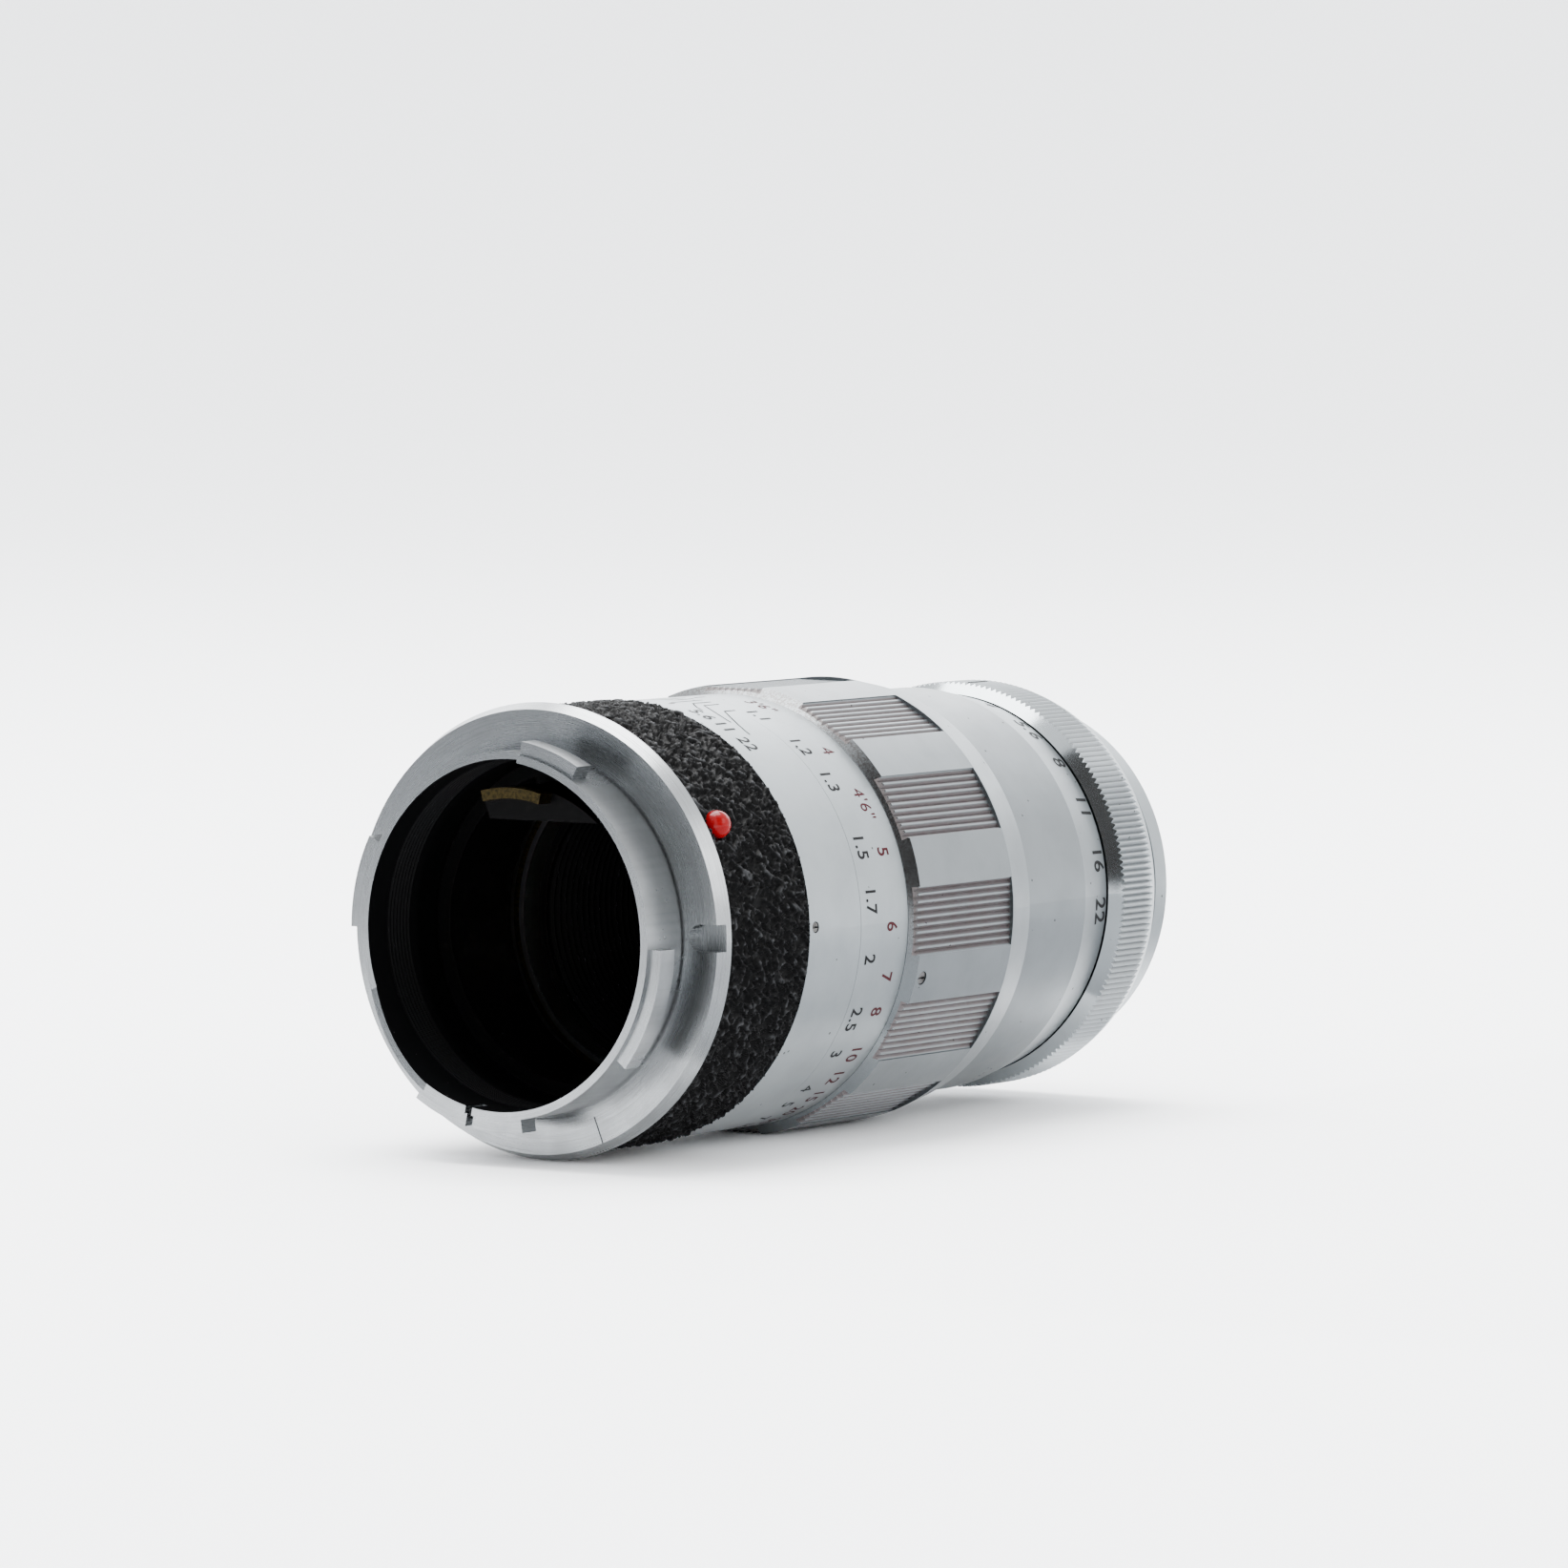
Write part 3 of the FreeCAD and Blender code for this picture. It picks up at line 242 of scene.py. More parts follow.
def grip_chrome():
    """Satin plating, darker towards the bottom of its grooves, and painted darker on the upper part of
    its bevel as painted shade.
    """
    # the darker plate here is painted shade
    paint, colour, rough, height = turned_metal("grip_chrome", *SHADED_PLATE, 0.26, 0.12)
    pitch = math.radians(360.0 / GRIP_GROUPS)
    angle = paint.math("ARCTAN2", paint.z, paint.x) - math.radians(GRIP_FIRST_ANGLE)
    steps = paint.math("ROUND", angle / pitch)
    from_middle = angle - steps * pitch
    level = paint.radius * paint.math("COSINE", from_middle)
    across = paint.math("ABSOLUTE", paint.radius * paint.math("SINE", from_middle))
    inside_group = level.below((GRIP_FLAT_LEVEL + 0.03) * MM) * across.below(3.85 * MM)
    on_grip = paint.y.above(37.9 * MM) * paint.y.below(57.6 * MM) * paint.radius.above(24.6 * MM)
    depth = (GRIP_FLAT_LEVEL * MM - level) / (GROOVE_DEPTH * MM)
    patches = paint.noise(420.0, 3.0, 0.7)
    # darker and less metallic towards the bottom of each groove, in patches
    groove_darkening = depth.ramp(0.02, 0.4) * inside_group * on_grip * (0.5 + patches * 0.6)
    colour = paint.blend(groove_darkening, colour, (0.085, 0.066, 0.066))
    cone = paint.radius - paint.y
    bevel = cone.above((DISTANCE_RING_RADIUS - GRIP_BEVEL_START - 0.15) * MM)
    bevel = bevel * paint.y.below(GRIP_BEVEL_END * MM)
    bevel = bevel * paint.radius.above((DISTANCE_RING_RADIUS + 0.02) * MM)
    speckle = paint.noise(3600.0, 3.0, 0.7).ramp(0.40, 0.62)
    # the bevel's upper side painted darker in speckles: painted shade
    upper_side = paint.z.ramp(-9.0 * MM, 4.0 * MM)
    stain_and_shade = bevel * (0.3 + speckle * 0.5) * upper_side
    colour = paint.blend(stain_and_shade, colour, (0.06, 0.053, 0.05))
    rough = rough + groove_darkening * 0.3 - bevel * 0.1
    normal = paint.bump(height, 0.000006, 0.5)
    metallic = 1.0 - groove_darkening * 0.5
    return paint.finish(Base_Color=colour, Metallic=metallic, Roughness=rough, Normal=normal)


def aperture_chrome():
    """Satin knurl with a polished cone behind it."""
    paint, colour, rough, height = turned_metal("aperture_chrome", *BRIGHT_PLATE, 0.26, 0.10)
    cone = paint.y.below(83.9 * MM) * paint.radius.above(22.0 * MM)
    valley = paint.radius.ramp(23.95 * MM, 23.7 * MM) * paint.y.above(84.0 * MM)
    valley = valley * paint.y.below(89.6 * MM)
    patches = paint.noise(500.0, 3.0, 0.7)
    colour = paint.blend(valley * (0.25 + patches * 0.3), colour, (0.09, 0.087, 0.087))
    rough = rough * (1.0 - cone * 0.6)
    normal = paint.bump(height, 0.000005, 0.4)
    return paint.finish(Base_Color=colour, Metallic=1.0, Roughness=rough, Normal=normal)


def bayonet_metal():
    """Bare turned metal, brushed in circles and worn, with black paint inside its bore."""
    paint = Paint("bayonet_metal")
    circles = paint.vector(paint.radius * 14000.0, paint.x * 60.0, paint.z * 60.0)
    brushing = paint.noise(1.0, 3.0, 0.65, circles)
    patches = paint.noise(190.0, 4.0, 0.6)
    grain = paint.noise(4200.0, 2.0)
    colour = paint.blend(patches.ramp(0.3, 0.75) * 0.5, (0.27, 0.281, 0.288), (0.17, 0.175, 0.18))
    colour = paint.blend(brushing.ramp(0.45, 0.75) * 0.5, colour, (0.13, 0.13, 0.132))
    inside = paint.radius.below(19.46 * MM) * paint.y.above(-6.93 * MM)
    grooves = paint.radius.below(19.8 * MM) * paint.y.above(-1.6 * MM)
    inside = paint.math("MAXIMUM", inside, grooves)
    inside = paint.math("MAXIMUM", inside, paint.y.above(1.8 * MM))
    chips = paint.noise(900.0, 3.0, 0.7).ramp(0.70, 0.76) * paint.y.below(-3.0 * MM)
    inside = inside * (1.0 - chips)
    colour = paint.blend(inside, colour, (0.0016, 0.0016, 0.0018))
    rough = 0.17 + patches * 0.08 + brushing * 0.14 + inside * 0.25
    normal = paint.bump(brushing * 0.6 + grain * 0.4, 0.000004, 0.5)
    metallic = 1.0 - inside
    paint.shader.inputs["Specular IOR Level"].default_value = 0.03
    return paint.finish(Base_Color=colour, Metallic=metallic, Roughness=rough, Normal=normal)


def black_finish():
    """Dull black on the inner parts, with faint turning marks."""
    paint = Paint("black_finish")
    lines = paint.noise(1.0, 2.0, 0.5, paint.stretched(5000.0, 40.0))
    dust = paint.noise(700.0, 3.0, 0.7)
    colour = paint.blend(dust.ramp(0.55, 0.85), (0.0007, 0.0007, 0.0008), (0.0030, 0.0029, 0.0027))
    rough = 0.38 + lines * 0.16 + dust * 0.1
    normal = paint.bump(lines, 0.00001, 0.5)
    paint.shader.inputs["Specular IOR Level"].default_value = 0.035
    return paint.finish(Base_Color=colour, Roughness=rough, Normal=normal)


def turned_brass():
    """Dull speckled brass, blackened inside the focusing tube."""
    paint = Paint("turned_brass")
    speckle = paint.noise(2600.0, 3.0, 0.7)
    stain_and_shade = paint.noise(350.0, 3.0)
    colour = paint.blend(speckle.ramp(0.35, 0.7), (0.036, 0.027, 0.010), (0.010, 0.008, 0.004))
    colour = paint.blend(stain_and_shade.ramp(0.55, 0.8) * 0.6, colour, (0.012, 0.010, 0.006))
    inside = paint.y.above(20.0 * MM)
    bare = paint.radius.above(18.1 * MM) * paint.radius.below(18.8 * MM)
    blackened = inside * (1.0 - bare)
    colour = paint.blend(blackened, colour, (0.002, 0.002, 0.002))
    normal = paint.bump(speckle, 0.00002, 0.6)
    rough = 0.34 + speckle * 0.25
    metallic = 1.0 - blackened
    return paint.finish(Base_Color=colour, Metallic=metallic, Roughness=rough, Normal=normal)


def screw_steel():
    """Plain steel, scratched and stained."""
    paint = Paint("screw_steel")
    scratches = paint.noise(1.0, 3.0, 0.6, paint.stretched(7000.0, 2500.0))
    stain_and_shade = paint.noise(1400.0, 3.0)
    colour = paint.blend(stain_and_shade.ramp(0.4, 0.7), (0.13, 0.127, 0.124), (0.05, 0.047, 0.044))
    normal = paint.bump(scratches, 0.00001, 0.6)
    rough = 0.25 + scratches * 0.25
    return paint.finish(Base_Color=colour, Metallic=1.0, Roughness=rough, Normal=normal)


def blade_steel():
    """Blued spring steel with faint streaks."""
    paint = Paint("blade_steel")
    drawn_out = paint.vector(paint.x * 3000.0, paint.y * 300.0, paint.z * 300.0)
    streaks = paint.noise(1.0, 3.0, 0.6, drawn_out)
    bloom = paint.noise(260.0, 3.0)
    colour = paint.blend(bloom.ramp(0.4, 0.7), (0.035, 0.035, 0.040), (0.060, 0.060, 0.064))
    normal = paint.bump(streaks, 0.000006, 0.5)
    rough = 0.30 + streaks * 0.15
    return paint.finish(Base_Color=colour, Metallic=1.0, Roughness=rough, Normal=normal)


def coated_glass():
    """Clear glass with a violet coating, a little dust and faint haze."""
    paint = Paint("coated_glass")
    dust = paint.cells(900.0).below(0.05) * paint.noise(300.0).above(0.55)
    haze = paint.noise(90.0, 2.0)
    colour = paint.blend(haze.ramp(0.3, 0.7), (0.93, 0.95, 1.0), (0.97, 0.96, 1.0))
    rough = 0.01 + dust * 0.25 + haze * 0.01
    paint.shader.inputs["Specular Tint"].default_value = (0.55, 0.45, 1.0, 1.0)
    return paint.finish(Base_Color=colour, Roughness=rough, Transmission_Weight=1.0, IOR=1.3)


def red_bead():
    """Glossy red with fine scratches."""
    paint = Paint("red_bead")
    cloud = paint.noise(900.0, 2.0)
    colour = paint.blend(cloud, (0.14, 0.0, 0.0012), (0.10, 0.0, 0.001))
    scratches = paint.noise(5200.0, 2.0)
    rough = 0.12 + scratches * 0.10
    normal = paint.bump(scratches, 0.000003, 0.3)
    paint.shader.inputs["Specular IOR Level"].default_value = 0.12
    return paint.finish(Base_Color=colour, Roughness=rough, Normal=normal)


def pebbled_skin():
    """Charcoal skin whose raised creases are painted lighter, as a painted highlight."""
    paint = Paint("pebbled_skin")
    fine = paint.noise(2600.0, 4.0, 0.7)
    broad = paint.noise(300.0, 2.0)
    raised = paint.radius.ramp(24.90 * MM, 25.09 * MM)
    # the raised creases painted lighter: a painted highlight
    wear_and_highlight = raised * (0.45 + fine * 0.8)
    colour = paint.blend(wear_and_highlight * 0.85, (0.0006, 0.0006, 0.0007), (0.026, 0.027, 0.029))
    colour = paint.blend(broad.ramp(0.55, 0.75) * 0.25, colour, (0.003, 0.003, 0.0035))
    rough = 0.42 + fine * 0.25
    normal = paint.bump(fine, 0.00003, 0.6)
    paint.shader.inputs["Specular IOR Level"].default_value = 0.08
    return paint.finish(Base_Color=colour, Roughness=rough, Normal=normal)


def engraving_paint(name, colour):
    """Paint rubbed into an engraved mark."""
    paint = Paint(name)
    wear = paint.noise(3800.0, 3.0, 0.6)
    wear_and_highlight = tuple(channel * 1.5 + 0.008 for channel in colour)
    mixed = paint.blend(wear.ramp(0.55, 0.8) * 0.6, colour, wear_and_highlight)
    normal = paint.bump(wear, 0.00001, 0.5)
    rough = 0.45 + wear * 0.2
    paint.shader.inputs["Specular IOR Level"].default_value = 0.08
    return paint.finish(Base_Color=mixed, Roughness=rough, Normal=normal)


def studio_sweep():
    """White paper that glows more and more up the wall, so that its top isn't darker."""
    paint = Paint("studio_sweep")
    mottle = paint.noise(3.0, 2.0)
    colour = paint.blend(mottle, (0.90, 0.905, 0.915), (0.92, 0.925, 0.935))
    wall = paint.z.ramp(0.2, 2.2)
    glow = paint.blend(wall, (0.0, 0.0, 0.0), (5.0, 5.1, 5.2))
    paint.shader.inputs["Emission Strength"].default_value = 1.0
    return paint.finish(Base_Color=colour, Roughness=0.7 + mottle * 0.1, Emission_Color=glow)


# ---------------------------------------------------------------- pieces


def on_cylinder(radius, angle, station):
    """A point in metres from a radius and station in millimetres and an angle in degrees."""
    turn = math.radians(angle)
    return Vector((radius * math.cos(turn), station, radius * math.sin(turn))) * MM


def add_piece(name, mesh_builder, material, body):
    """Make an object from a bmesh that is already in place, and let it ride on a body."""
    mesh = bpy.data.meshes.new(name)
    mesh_builder.to_mesh(mesh)
    mesh_builder.free()
    mesh.materials.append(material)
    item = bpy.data.objects.new(name, mesh)
    bpy.context.scene.collection.objects.link(item)
    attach(item, body)
    return item


def ridge(turn, station, slant):
    """Height of thin ridges that lean away from the axis by this slope, 0 to 1."""
    leaning = turn + slant * station / SKIN_RADIUS
    place = Vector((math.cos(leaning) * 27.0, math.sin(leaning) * 27.0, station * 0.62))
    place = place + noise.noise_vector(place * 0.7) * 0.55
    return 1.0 - min(1.0, abs(noise.noise(place)) * 4.8)


def crease_height(angle, station):
    """Height of the skin's creases, 0 to 1, at an angle in degrees and a station in mm."""
    turn = math.radians(angle)
    main = ridge(turn, station, 0.55)
    crossing = ridge(turn + 1.7, station, -0.9) * 0.8
    place = Vector((math.cos(turn) * 42.0, math.sin(turn) * 42.0, station * 1.7))
    knots = noise.noise(place) * 0.3
    return max(0.0, min(1.0, max(main, crossing) + knots))


def make_skin(material):
    """The pebbled skin: a closed tube with a real relief and one small hole."""
    across, around = 96, 900
    start, end = 1.72, 17.78
    inner, base, relief = 24.22, 24.4, 0.7
    hole_angle, hole_station, hole_radius = 68.8, 10.7, 0.6
    builder = bmesh.new()
    bmesh.ops.create_grid(builder, x_segments=across, y_segments=around, size=0.5)
    for vertex in builder.verts:
        along = vertex.co.x + 0.5
        angle = (vertex.co.y + 0.5) * 360.0
        station = start + (end - start) * along
        edge = min(1.0, min(station - start, end - station) / 0.35)
        radius = base + relief * crease_height(angle, station) * (0.35 + 0.65 * edge)
        around_hole = math.radians(angle - hole_angle) * SKIN_RADIUS
        if math.hypot(around_hole, station - hole_station) < hole_radius:
            radius = inner + 0.04
        vertex.co = on_cylinder(radius, angle, station)
    bmesh.ops.remove_doubles(builder, verts=builder.verts, dist=0.00001)
    ends = [edge for edge in builder.edges if edge.is_boundary]
    walls = bmesh.ops.extrude_edge_only(builder, edges=ends)["geom"]
    for vertex in (part for part in walls if isinstance(part, bmesh.types.BMVert)):
        shrink = inner * MM / math.hypot(vertex.co.x, vertex.co.z)
        vertex.co = Vector((vertex.co.x * shrink, vertex.co.y, vertex.co.z * shrink))
    loops = [edge for edge in builder.edges if edge.is_boundary]
    bmesh.ops.bridge_loops(builder, edges=loops)
    bmesh.ops.recalc_face_normals(builder, faces=builder.faces)
    for face in builder.faces:
        face.smooth = True
    skin = add_piece("skin_relief", builder, material, "mount")
    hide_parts("covering_band")
    return skin


def text_outline(text, height, squeeze):
    """A bmesh of flat characters, centred, cut into narrow strips so that it can be wrapped."""
    curve = bpy.data.curves.new("characters", "FONT")
    curve.body = text
    curve.align_x = "CENTER"
    curve.align_y = "CENTER"
    curve.resolution_u = 4
    curve.space_character = 1.08
    curve.offset = 0.0 if "4" in text else 0.015
    item = bpy.data.objects.new("characters", curve)
    bpy.context.scene.collection.objects.link(item)
    bpy.context.view_layer.update()
    evaluated = item.evaluated_get(bpy.context.evaluated_depsgraph_get())
    mesh = bpy.data.meshes.new_from_object(evaluated)
    builder = bmesh.new()
    builder.from_mesh(mesh)
    bpy.data.objects.remove(item)
    bpy.data.curves.remove(curve)
    bpy.data.meshes.remove(mesh)
    top = max(v.co.y for v in builder.verts)
    bottom = min(v.co.y for v in builder.verts)
    middle = 0.5 * (top + bottom)
    scale = height / (top - bottom)
    for vertex in builder.verts:
        vertex.co = Vector((vertex.co.x * scale * squeeze, (vertex.co.y - middle) * scale, 0.0))
    widest = max(abs(v.co.x) for v in builder.verts)
    strip = 0.35
    cuts = int(widest / strip) + 1
    for step in range(-cuts, cuts + 1):
        geometry = builder.verts[:] + builder.edges[:] + builder.faces[:]
        bmesh.ops.bisect_plane(
            builder, geom=geometry, plane_co=(step * strip, 0, 0), plane_no=(1, 0, 0)
        )
    return builder


def wrap_flat(builder, angle, station, radius_at):
    """Lay a flat mesh in millimetres on a turned surface: x runs round it, y along the axis."""
    for vertex in builder.verts:
        place = station + vertex.co.y
        radius = radius_at(place)
        turn = angle - math.degrees(vertex.co.x / radius)
        vertex.co = on_cylinder(radius, turn, place)
    return builder


def gather(builders):
    """Join several bmeshes into one."""
    whole = bmesh.new()
    for builder in builders:
        scratch = bpy.data.meshes.new("scratch")
        builder.to_mesh(scratch)
        builder.free()
        whole.from_mesh(scratch)
        bpy.data.meshes.remove(scratch)
    return whole


def line_strip(path, width, radius, steps=24):
    """A painted line along (station, angle) points on a cylinder, drawn as a thin strip."""
    builder = bmesh.new()
    bmesh.ops.create_grid(builder, x_segments=steps, y_segments=1, size=0.5)
    lengths = [0.0]
    flat = [Vector((math.radians(angle) * radius, station)) for station, angle in path]
    for first, second in zip(flat, flat[1:]):
        lengths.append(lengths[-1] + (second - first).length)
    for vertex in builder.verts:
        travelled = (vertex.co.x + 0.5) * lengths[-1]
        side = vertex.co.y * width
        leg = next(i for i in range(len(flat) - 1) if travelled <= lengths[i + 1] + 1e-9)
        direction = (flat[leg + 1] - flat[leg]).normalized()
        point = flat[leg] + direction * (travelled - lengths[leg])
        point = point + Vector((-direction.y, direction.x)) * side
        vertex.co = on_cylinder(radius, math.degrees(point.x / radius), point.y)
    return builder


def distance_paint_radius(station):
    """Radius of the paint on the distance ring, which is a plain cylinder."""
    return DISTANCE_RING_RADIUS + PAINT_LIFT


def depth_paint_radius(station):
    """Radius of the paint on the depth ring, which is a plain cylinder."""
    return SCALE_RING_RADIUS + PAINT_LIFT


def distance_angle(millimetres):
    """Where a distance is engraved on the distance ring at rest."""
    reach = millimetres - 2 * FOCAL_LENGTH
    extension = (reach - math.sqrt(reach * reach - 4 * FOCAL_LENGTH**2)) / 2
    return INFINITY_ANGLE + DEGREES_PER_MM * extension


def add_marks(name, builders, material, body):
    """One piece from several marks, facing outwards."""
    whole = gather(builders)
    for face in whole.faces:
        centre = face.calc_center_median()
        if face.normal.dot(Vector((centre.x, 0.0, centre.z))) < 0.0:
            face.normal_flip()
    return add_piece(name, whole, material, body)


def distance_row(texts_and_distances, station):
    """The marks of one row of distances, with infinity at its end."""
    marks = []
    for text, distance in texts_and_distances:
        outline = text_outline(text, NUMBER_HEIGHT, NUMBER_SQUEEZE)
        marks.append(wrap_flat(outline, distance_angle(distance), station, distance_paint_radius))
    outline = text_outline("∞", INFINITY_HEIGHT, 1.0)
    marks.append(wrap_flat(outline, INFINITY_ANGLE, station, distance_paint_radius))
    return marks


def make_distance_scale(black, red):
    """Metres in black and feet in red on the distance ring."""
    metres = ["1", "1.1", "1.2", "1.3", "1.5", "1.7", "2", "2.5", "3", "4", "5", "7", "10", "20"]
    feet = {"3'6\"": 3.5, "4": 4, "4'6\"": 4.5, "5": 5, "6": 6, "7": 7, "8": 8, "10": 10}
    feet.update({"12": 12, "15": 15, "20": 20, "30": 30, "60": 60})
    row = [(text, float(text) * 1000.0) for text in metres]
    add_marks("metre_numbers", distance_row(row, METRE_STATION), black, "focus_ring")
    row = [(text, value * MM_PER_FOOT) for text, value in feet.items()]
    add_marks("feet_numbers", distance_row(row, FEET_STATION), red, "focus_ring")


def depth_leader(offset, turn_station, end_station, end_offset, side):
    """The path of a leader line: straight from its mark, then curving away to its number."""
    path = [(DEPTH_LINE_START, INDEX_ANGLE + side * offset), (turn_station, INDEX_ANGLE + side * offset)]
    for share in (0.3, 0.6, 0.85, 1.0):
        bend = math.sin(share * math.pi / 2)
        station = turn_station + (end_station - turn_station) * bend
        path.append((station, INDEX_ANGLE + side * (offset + (end_offset - offset) * share)))
    return path


def make_depth_scale(black, red):
    """Curved leader lines from each pair of depth marks to its number, and the index."""
    radius = SCALE_RING_RADIUS + PAINT_LIFT
    leaders = {"5.6": (24.4, 22.6, 8.9), "11": (24.9, 23.2, 17.4), "22": (25.7, 23.4, 23.9)}
    number_offsets = {"5.6": 11.5, "11": 19.2, "22": 27.5}
    marks = [line_strip([(DEPTH_LINE_START, INDEX_ANGLE), (21.6, INDEX_ANGLE)], 0.16, radius)]
    for text, bends in leaders.items():
        offset = float(text) * DEPTH_DEGREES_PER_STOP
        for side in (-1, 1):
            marks.append(line_strip(depth_leader(offset, *bends, side), 0.2, radius, 48))
            angle = INDEX_ANGLE + side * number_offsets[text]
            outline = text_outline(text, NUMBER_HEIGHT, NUMBER_SQUEEZE)
            marks.append(wrap_flat(outline, angle, DEPTH_NUMBER_STATION, depth_paint_radius))
    add_marks("depth_scale", marks, black, "mount")
    dash = [line_strip([(21.8, 81.6), (20.6, 81.6)], 0.22, radius)]
    add_marks("infrared_mark", dash, red, "mount")


def number_cone_radius(station):
    """Radius of the cone that carries the f-numbers, with the paint's thickness."""
    share = (station - NUMBER_CONE_START) / (NUMBER_CONE_END - NUMBER_CONE_START)
    drop = NUMBER_CONE_REAR_RADIUS - NUMBER_CONE_FRONT_RADIUS
    return NUMBER_CONE_REAR_RADIUS - drop * max(0.0, share) + PAINT_LIFT


def make_aperture_scale(black):
    """The f-numbers on the barrel's cone and the ring's own index."""
    angles = {"22": -4.6, "16": 10.5, "11": 26.6, "8": 41.7, "5.6": 55.8, "4": 70.9, "2.8": 86.0}
    marks = []
    for text, angle in angles.items():
        outline = text_outline(text, APERTURE_NUMBER_HEIGHT, APERTURE_NUMBER_SQUEEZE)
        marks.append(wrap_flat(outline, angle, APERTURE_NUMBER_STATION, number_cone_radius))
    add_marks("f_numbers", marks, black, "head")
    index = line_strip([(84.6, 86.0), (88.8, 86.0)], 0.5, 24.02, 8)
    add_marks("aperture_index", [index], black, "aperture_control")


# ---------------------------------------------------------------- studio


def make_stage(material):
    """A pale sweep: a floor that curves up into a wall far behind the object."""
    builder = bmesh.new()
    bmesh.ops.create_grid(builder, x_segments=4, y_segments=80, size=0.5)
    floor_length, bend_radius, wall_height = 5.0, 1.2, 2.0
    bend_length = bend_radius * math.pi / 2
    total = floor_length + bend_length + wall_height
    view = Vector((-0.568, 0.823, 0.0))
    side = Vector((view.y, -view.x, 0.0))
    for vertex in builder.verts:
        travelled = (vertex.co.y + 0.5) * total
        along, up = travelled, 0.0
        if travelled > floor_length:
            turn = min(travelled - floor_length, bend_length) / bend_radius
            along = floor_length + bend_radius * math.sin(turn)
            up = bend_radius * (1.0 - math.cos(turn))
            up += max(0.0, travelled - floor_length - bend_length)
        flat = view * (along - 2.2) + side * vertex.co.x * 8.0
        vertex.co = flat + Vector((0.0, 0.0, FLOOR_HEIGHT * MM + up))
    bmesh.ops.recalc_face_normals(builder, faces=builder.faces)
    for face in builder.faces:
        face.smooth = True
    mesh = bpy.data.meshes.new("sweep")
    builder.to_mesh(mesh)
    builder.free()
    mesh.materials.append(material)
    sweep = bpy.data.objects.new("sweep", mesh)
    bpy.context.scene.collection.objects.link(sweep)


def add_card(name, place, facing, size, material):
    """A dull card that only sharp reflections see."""
    builder = bmesh.new()
    bmesh.ops.create_grid(builder, x_segments=1, y_segments=1, size=0.5)
    for vertex in builder.verts:
        vertex.co = Vector((vertex.co.x * size[0], vertex.co.y * size[1], 0.0))
    turned = Vector(facing).to_track_quat("Z", "Y").to_matrix().to_4x4()
    builder.transform(Matrix.Translation(place) @ turned)
    mesh = bpy.data.meshes.new(name)
    builder.to_mesh(mesh)
    builder.free()
    mesh.materials.append(material)
    card = bpy.data.objects.new(name, mesh)
    card.visible_camera = False
    card.visible_diffuse = False
    card.visible_shadow = False
    bpy.context.scene.collection.objects.link(card)


def card_board(name, colour):
    """Matt board for a reflecting card."""
    paint = Paint(name)
    mottle = paint.noise(8.0, 2.0)
    darker = tuple(channel * 0.8 for channel in colour)
    mixed = paint.blend(mottle, colour, darker)
    return paint.finish(Base_Color=mixed, Roughness=0.9)


def add_area_light(name, place, target, size, power):
    """A rectangular light aimed at a point."""
    light = bpy.data.lights.new(name, "AREA")
    light.shape = "RECTANGLE"
    light.size = size[0]
    light.size_y = size[1]
    light.energy = power
    item = bpy.data.objects.new(name, light)
    item.location = place
    aim = Vector(target) - Vector(place)
    item.rotation_euler = aim.to_track_quat("-Z", "Y").to_euler()
    bpy.context.scene.collection.objects.link(item)


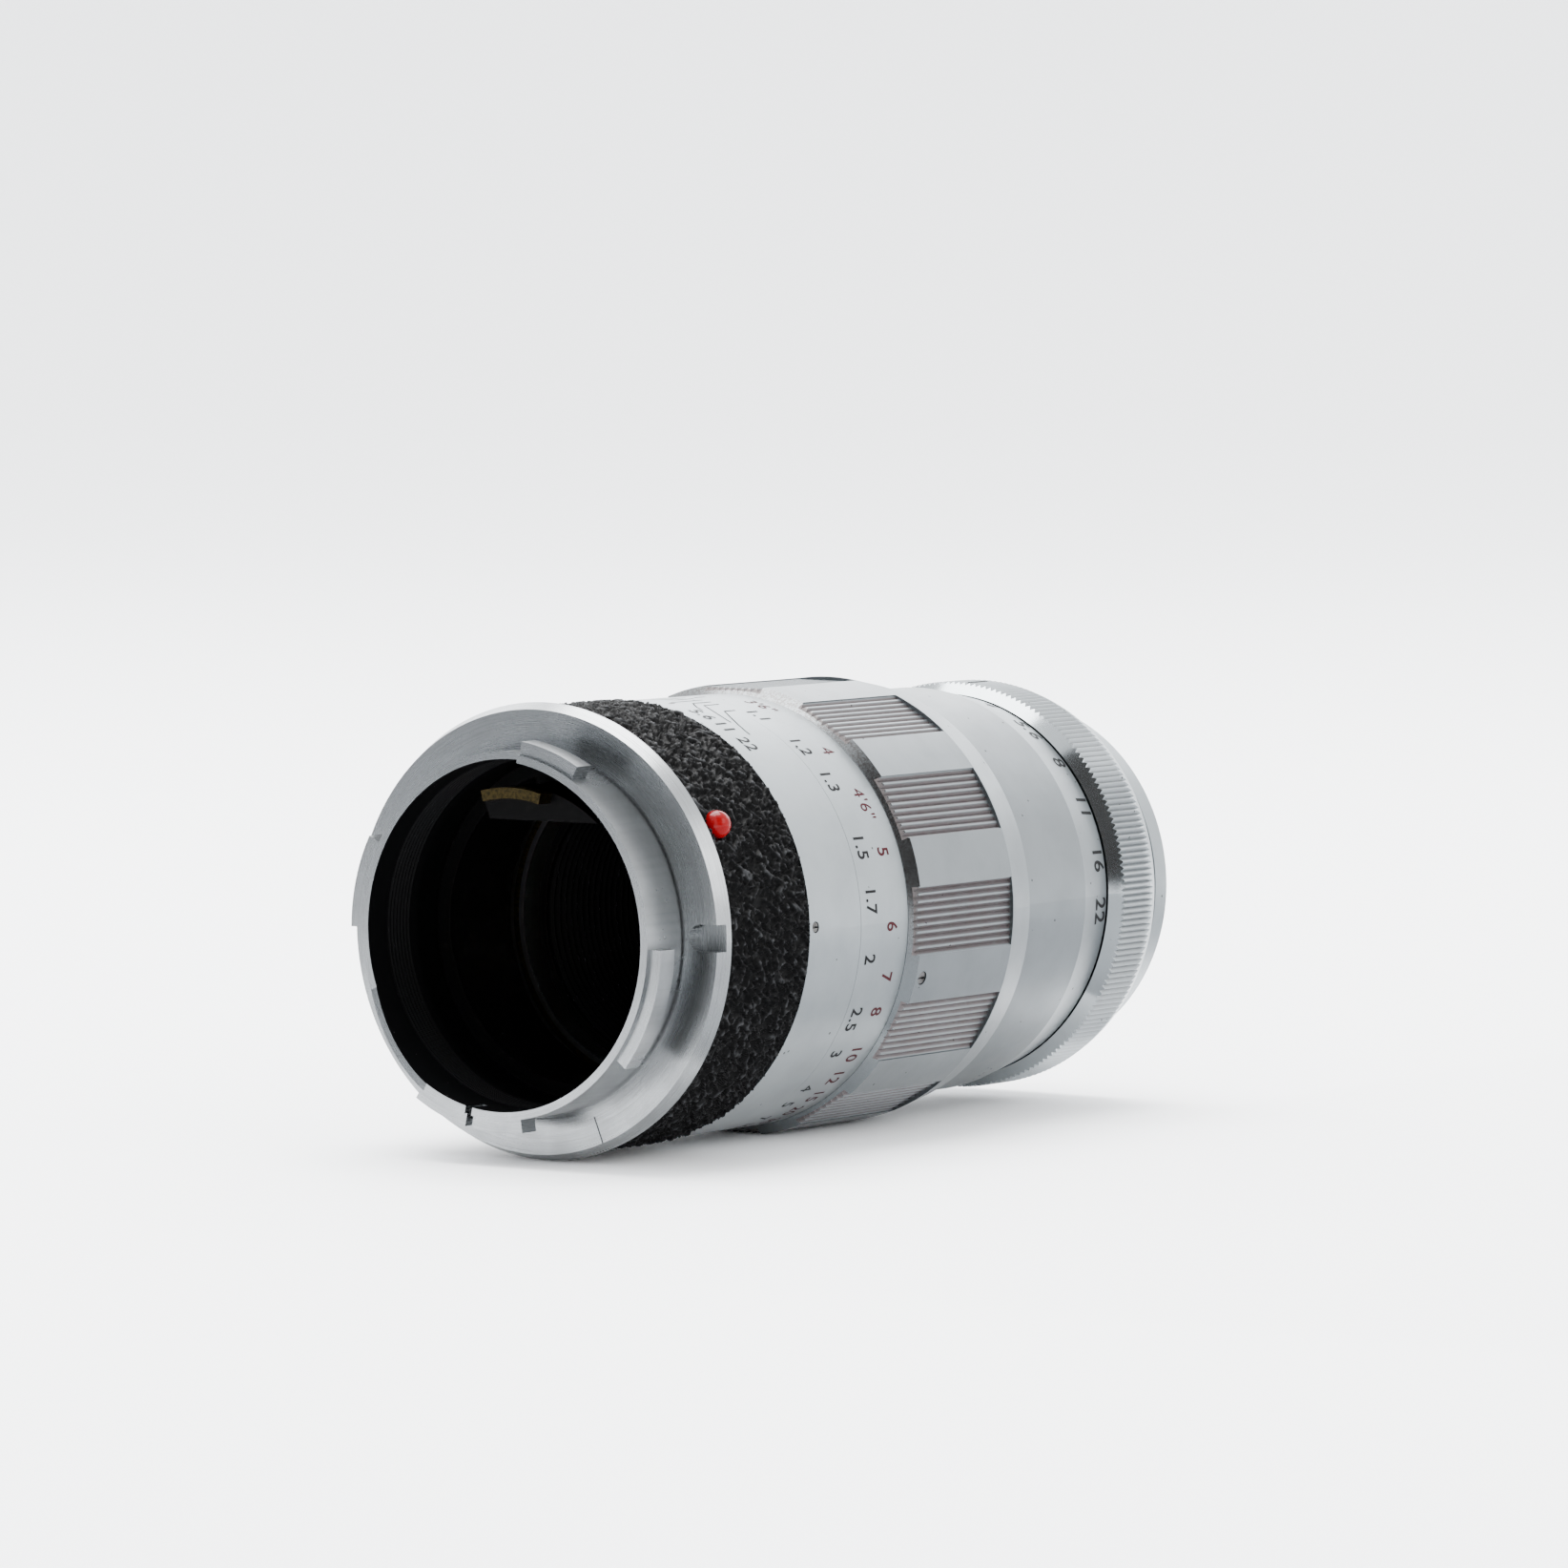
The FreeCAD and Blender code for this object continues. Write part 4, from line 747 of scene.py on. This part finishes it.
def make_lights():
    """An even white room, a large soft light above, one at the side, and dull cards, one of which lies
    on the floor as a painted shadow.
    """
    world = bpy.data.worlds.new("room")
    world.use_nodes = True
    background = world.node_tree.nodes["Background"]
    background.inputs["Color"].default_value = (0.97, 0.985, 1.0, 1.0)
    background.inputs["Strength"].default_value = 3.1
    bpy.context.scene.world = world
    add_area_light("overhead", (-0.3, 0.2, 1.3), (0.0, 0.05, 0.0), (1.1, 1.1), 72.0)
    add_area_light("side", (1.3, 0.2, 0.7), (0.0, 0.05, 0.0), (0.8, 0.8), 9.0)
    black_board = card_board("black_board", (0.02, 0.018, 0.017))
    grey_board = card_board("grey_board", (0.13, 0.136, 0.145))
    floor_shadow_board = card_board("floor_shadow_board", (0.36, 0.37, 0.385))
    above = Vector((0.90, -0.45, 0.47))
    add_card("dark_card", above, above, (0.8, 1.7), black_board)
    behind = Vector((-0.125, -0.18, 0.0))
    add_card("grey_card", behind, behind, (0.6, 0.45), grey_board)
    # a grey sheet on the floor beside the lens, seen only in reflections: a painted shadow of the lens
    # on the floor
    beside = Vector((0.17, 0.12, FLOOR_HEIGHT * MM + 0.0005))
    add_card("floor_shadow_card", beside, (0.0, 0.0, 1.0), (0.28, 0.40), floor_shadow_board)


def make_camera():
    """A long lens from behind and to the right of the bayonet, a little above it."""
    camera = bpy.data.cameras.new("camera")
    camera.lens = 208.03
    camera.sensor_width = 36.0
    camera.clip_start = 0.01
    camera.dof.use_dof = False
    right = Vector((0.82284, 0.56827, 0.0))
    up = Vector((-0.03735, 0.05407, 0.99784))
    back = right.cross(up)
    item = bpy.data.objects.new("camera", camera)
    turned = Matrix((right, up, back)).transposed().to_4x4()
    item.matrix_world = Matrix.Translation((0.59045, -0.80638, 0.08224)) @ turned
    bpy.context.scene.collection.objects.link(item)
    bpy.context.scene.camera = item


# ---------------------------------------------------------------- assembly


def paint_cad_nodes(finishes):
    """Give each CAD node the finish of its slot, with a few nodes that differ."""
    special = {
        "focus_grip": finishes["grip"],
        "front_barrel": finishes["barrel"],
        "aperture_ring": finishes["aperture"],
    }
    slots = {entry["node"]: entry["material_slot"] for entry in frame["record"]["subparts"]}
    for name, item in frame["nodes"].items():
        material = special.get(name, finishes[slots[name]])
        item.data.materials.clear()
        item.data.materials.append(material)


finishes = {
    "satin_chrome": satin_chrome("satin_chrome", BRIGHT_PLATE),
    # the barrel takes the darker plate: painted shade
    "barrel": satin_chrome("barrel_chrome", SHADED_PLATE),
    "grip": grip_chrome(),
    "aperture": aperture_chrome(),
    "chromed_brass": bayonet_metal(),
    "black_anodised": black_finish(),
    "pebbled_skin": pebbled_skin(),
    "red_bead": red_bead(),
    "screw_steel": screw_steel(),
    "brass": turned_brass(),
    "blade_steel": blade_steel(),
    "coated_glass": coated_glass(),
}
black_paint = engraving_paint("black_paint", (0.003, 0.003, 0.0034))
red_paint = engraving_paint("red_paint", (0.030, 0.003, 0.005))

paint_cad_nodes(finishes)
make_skin(finishes["pebbled_skin"])
make_distance_scale(black_paint, red_paint)
make_depth_scale(black_paint, red_paint)
make_aperture_scale(black_paint)
make_stage(studio_sweep())
make_lights()
make_camera()
